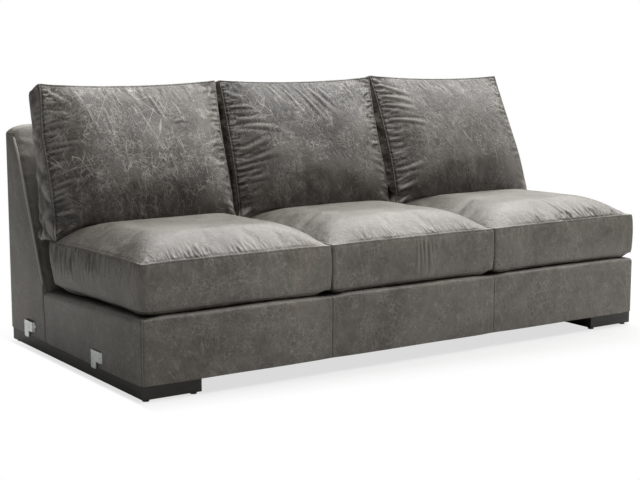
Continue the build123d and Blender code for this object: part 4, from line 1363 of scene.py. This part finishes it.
def dust_cover():
    """Cloth stretched under the frame, sagging a little between its staples."""
    low, high = (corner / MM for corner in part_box("dust_cover"))
    xs, ys = graded(high.x - low.x, 22.0), graded(high.y - low.y, 22.0)
    u, v = np.meshgrid(xs / xs[-1], ys / ys[-1], indexing="ij")
    wide, deep = high.x - low.x, high.y - low.y
    x, y = low.x + u * wide, low.y + v * deep
    middle = np.sin(math.pi * u) * np.sin(math.pi * v)
    ripple = 0.5 * swell(np.stack([x, y], -1), 90, 300) * middle
    z = high.z - 0.2 - CLOTH_SAG * middle**0.6 + ripple
    sheet = shell("dust_sheet", np.stack([x, y, z], -1), 0.6, SLOT_MATERIALS["dust_cloth"])
    face_normals_out(sheet)
    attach(sheet, "frame")
    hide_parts("dust_cover")


dust_cover()


# ---- stage, light and camera ----
def stage_material():
    """White floor; to the camera its shadow is paler, and it shows just under the sofa's front alone."""
    s = shader_of("studio_floor")
    split = s.split(s.place)
    before = s.band(s.number("MULTIPLY_ADD", split["X"], 0.119, split["Y"]), -0.80, -0.62, 1.0, 0.70)
    beside = s.band(split["X"], -1.085, -1.068, 1.0, 0.70)
    behind = s.band(split["Y"], 0.3, 0.8, 0.70, 1.0)
    share = s.number("MAXIMUM", s.number("MAXIMUM", before, beside), behind)
    s.coat(Base_Color=(0.60, 0.60, 0.59, 1), Roughness=0.9)
    floor = s.nodes["Principled BSDF"].outputs[0]
    glow = s.make("ShaderNodeEmission", {"Strength": 1.0}).outputs[0]
    lifted = s.make("ShaderNodeMixShader", {0: share, 1: floor, 2: glow}).outputs[0]
    camera_ray = s.make("ShaderNodeLightPath", {}).outputs["Is Camera Ray"]
    seen = s.make("ShaderNodeMixShader", {0: camera_ray, 1: floor, 2: lifted}).outputs[0]
    s.fill(s.nodes["Material Output"], {"Surface": seen})
    return s.owner


FLOOR_REACH = 30.0 / MM


def make_floor():
    corners = [(x * FLOOR_REACH, y * FLOOR_REACH, 0) for x, y in ((-1, -1), (1, -1), (1, 1), (-1, 1))]
    floor = make_object("floor", corners, [(0, 1, 2, 3)], stage_material())


# name, energy in watts, size, place and aim of each light
LIGHTS = (
    ("gloss", 605, (8.5, 5.0), (2.4, 1.2, 4.2), (0.1, -0.1, 0.3)),
    ("key", 54, (2.4, 1.8), (-0.3, -1.4, 3.8), (0, 0, 0.4)),
    ("front_fill", 6, (2.5, 2.0), (3.8, -3.6, 2.0), (0.3, 0, 0.3)),
)


def make_light(name, energy, size, location, target):
    data = bpy.data.lights.new(name, "AREA")
    data.energy = energy
    data.shape = "RECTANGLE"
    data.size, data.size_y = size
    light = bpy.data.objects.new(name, data)
    light.location = location
    light.rotation_euler = (Vector(target) - Vector(location)).to_track_quat("-Z", "Y").to_euler()
    bpy.context.scene.collection.objects.link(light)


def make_world():
    """White to the camera; as a light, bright above and behind the sofa and dim in front of it."""
    world = bpy.data.worlds.new("studio")
    bpy.context.scene.world = world
    s = Shader(world)
    split = s.split(s.around)
    behind = s.band(split["Y"], -0.7, 0.9, 0.10, 0.58)
    above = s.band(split["Z"], -0.1, 0.9, 0.31, 1.2)
    beside = s.band(split["X"], -0.8, 0.4, 0.50, 1.0)
    camera_ray = s.make("ShaderNodeLightPath", {}).outputs["Is Camera Ray"]
    seen = s.make("ShaderNodeMix", {"Factor": camera_ray, "A": s.product(behind, above, beside), "B": 1.0})
    s.fill(s.nodes["Background"], {"Strength": seen.outputs["Result"], "Color": (1, 1, 1, 1)})


CAMERA_PLACE = (-2.91763, -4.29429, 1.13743)
CAMERA_LOOK = (0.54981, 0.82192, -0.14885)
CAMERA_LENS = 77.76


def make_camera():
    data = bpy.data.cameras.new("camera")
    data.lens = CAMERA_LENS
    data.sensor_width = 36.0
    camera = bpy.data.objects.new("camera", data)
    camera.location = CAMERA_PLACE
    camera.rotation_euler = Vector(CAMERA_LOOK).to_track_quat("-Z", "Y").to_euler()
    bpy.context.scene.collection.objects.link(camera)
    bpy.context.scene.camera = camera


make_floor()
make_world()
for light in LIGHTS:
    make_light(*light)
make_camera()
bpy.context.scene.view_settings.view_transform = "Standard"
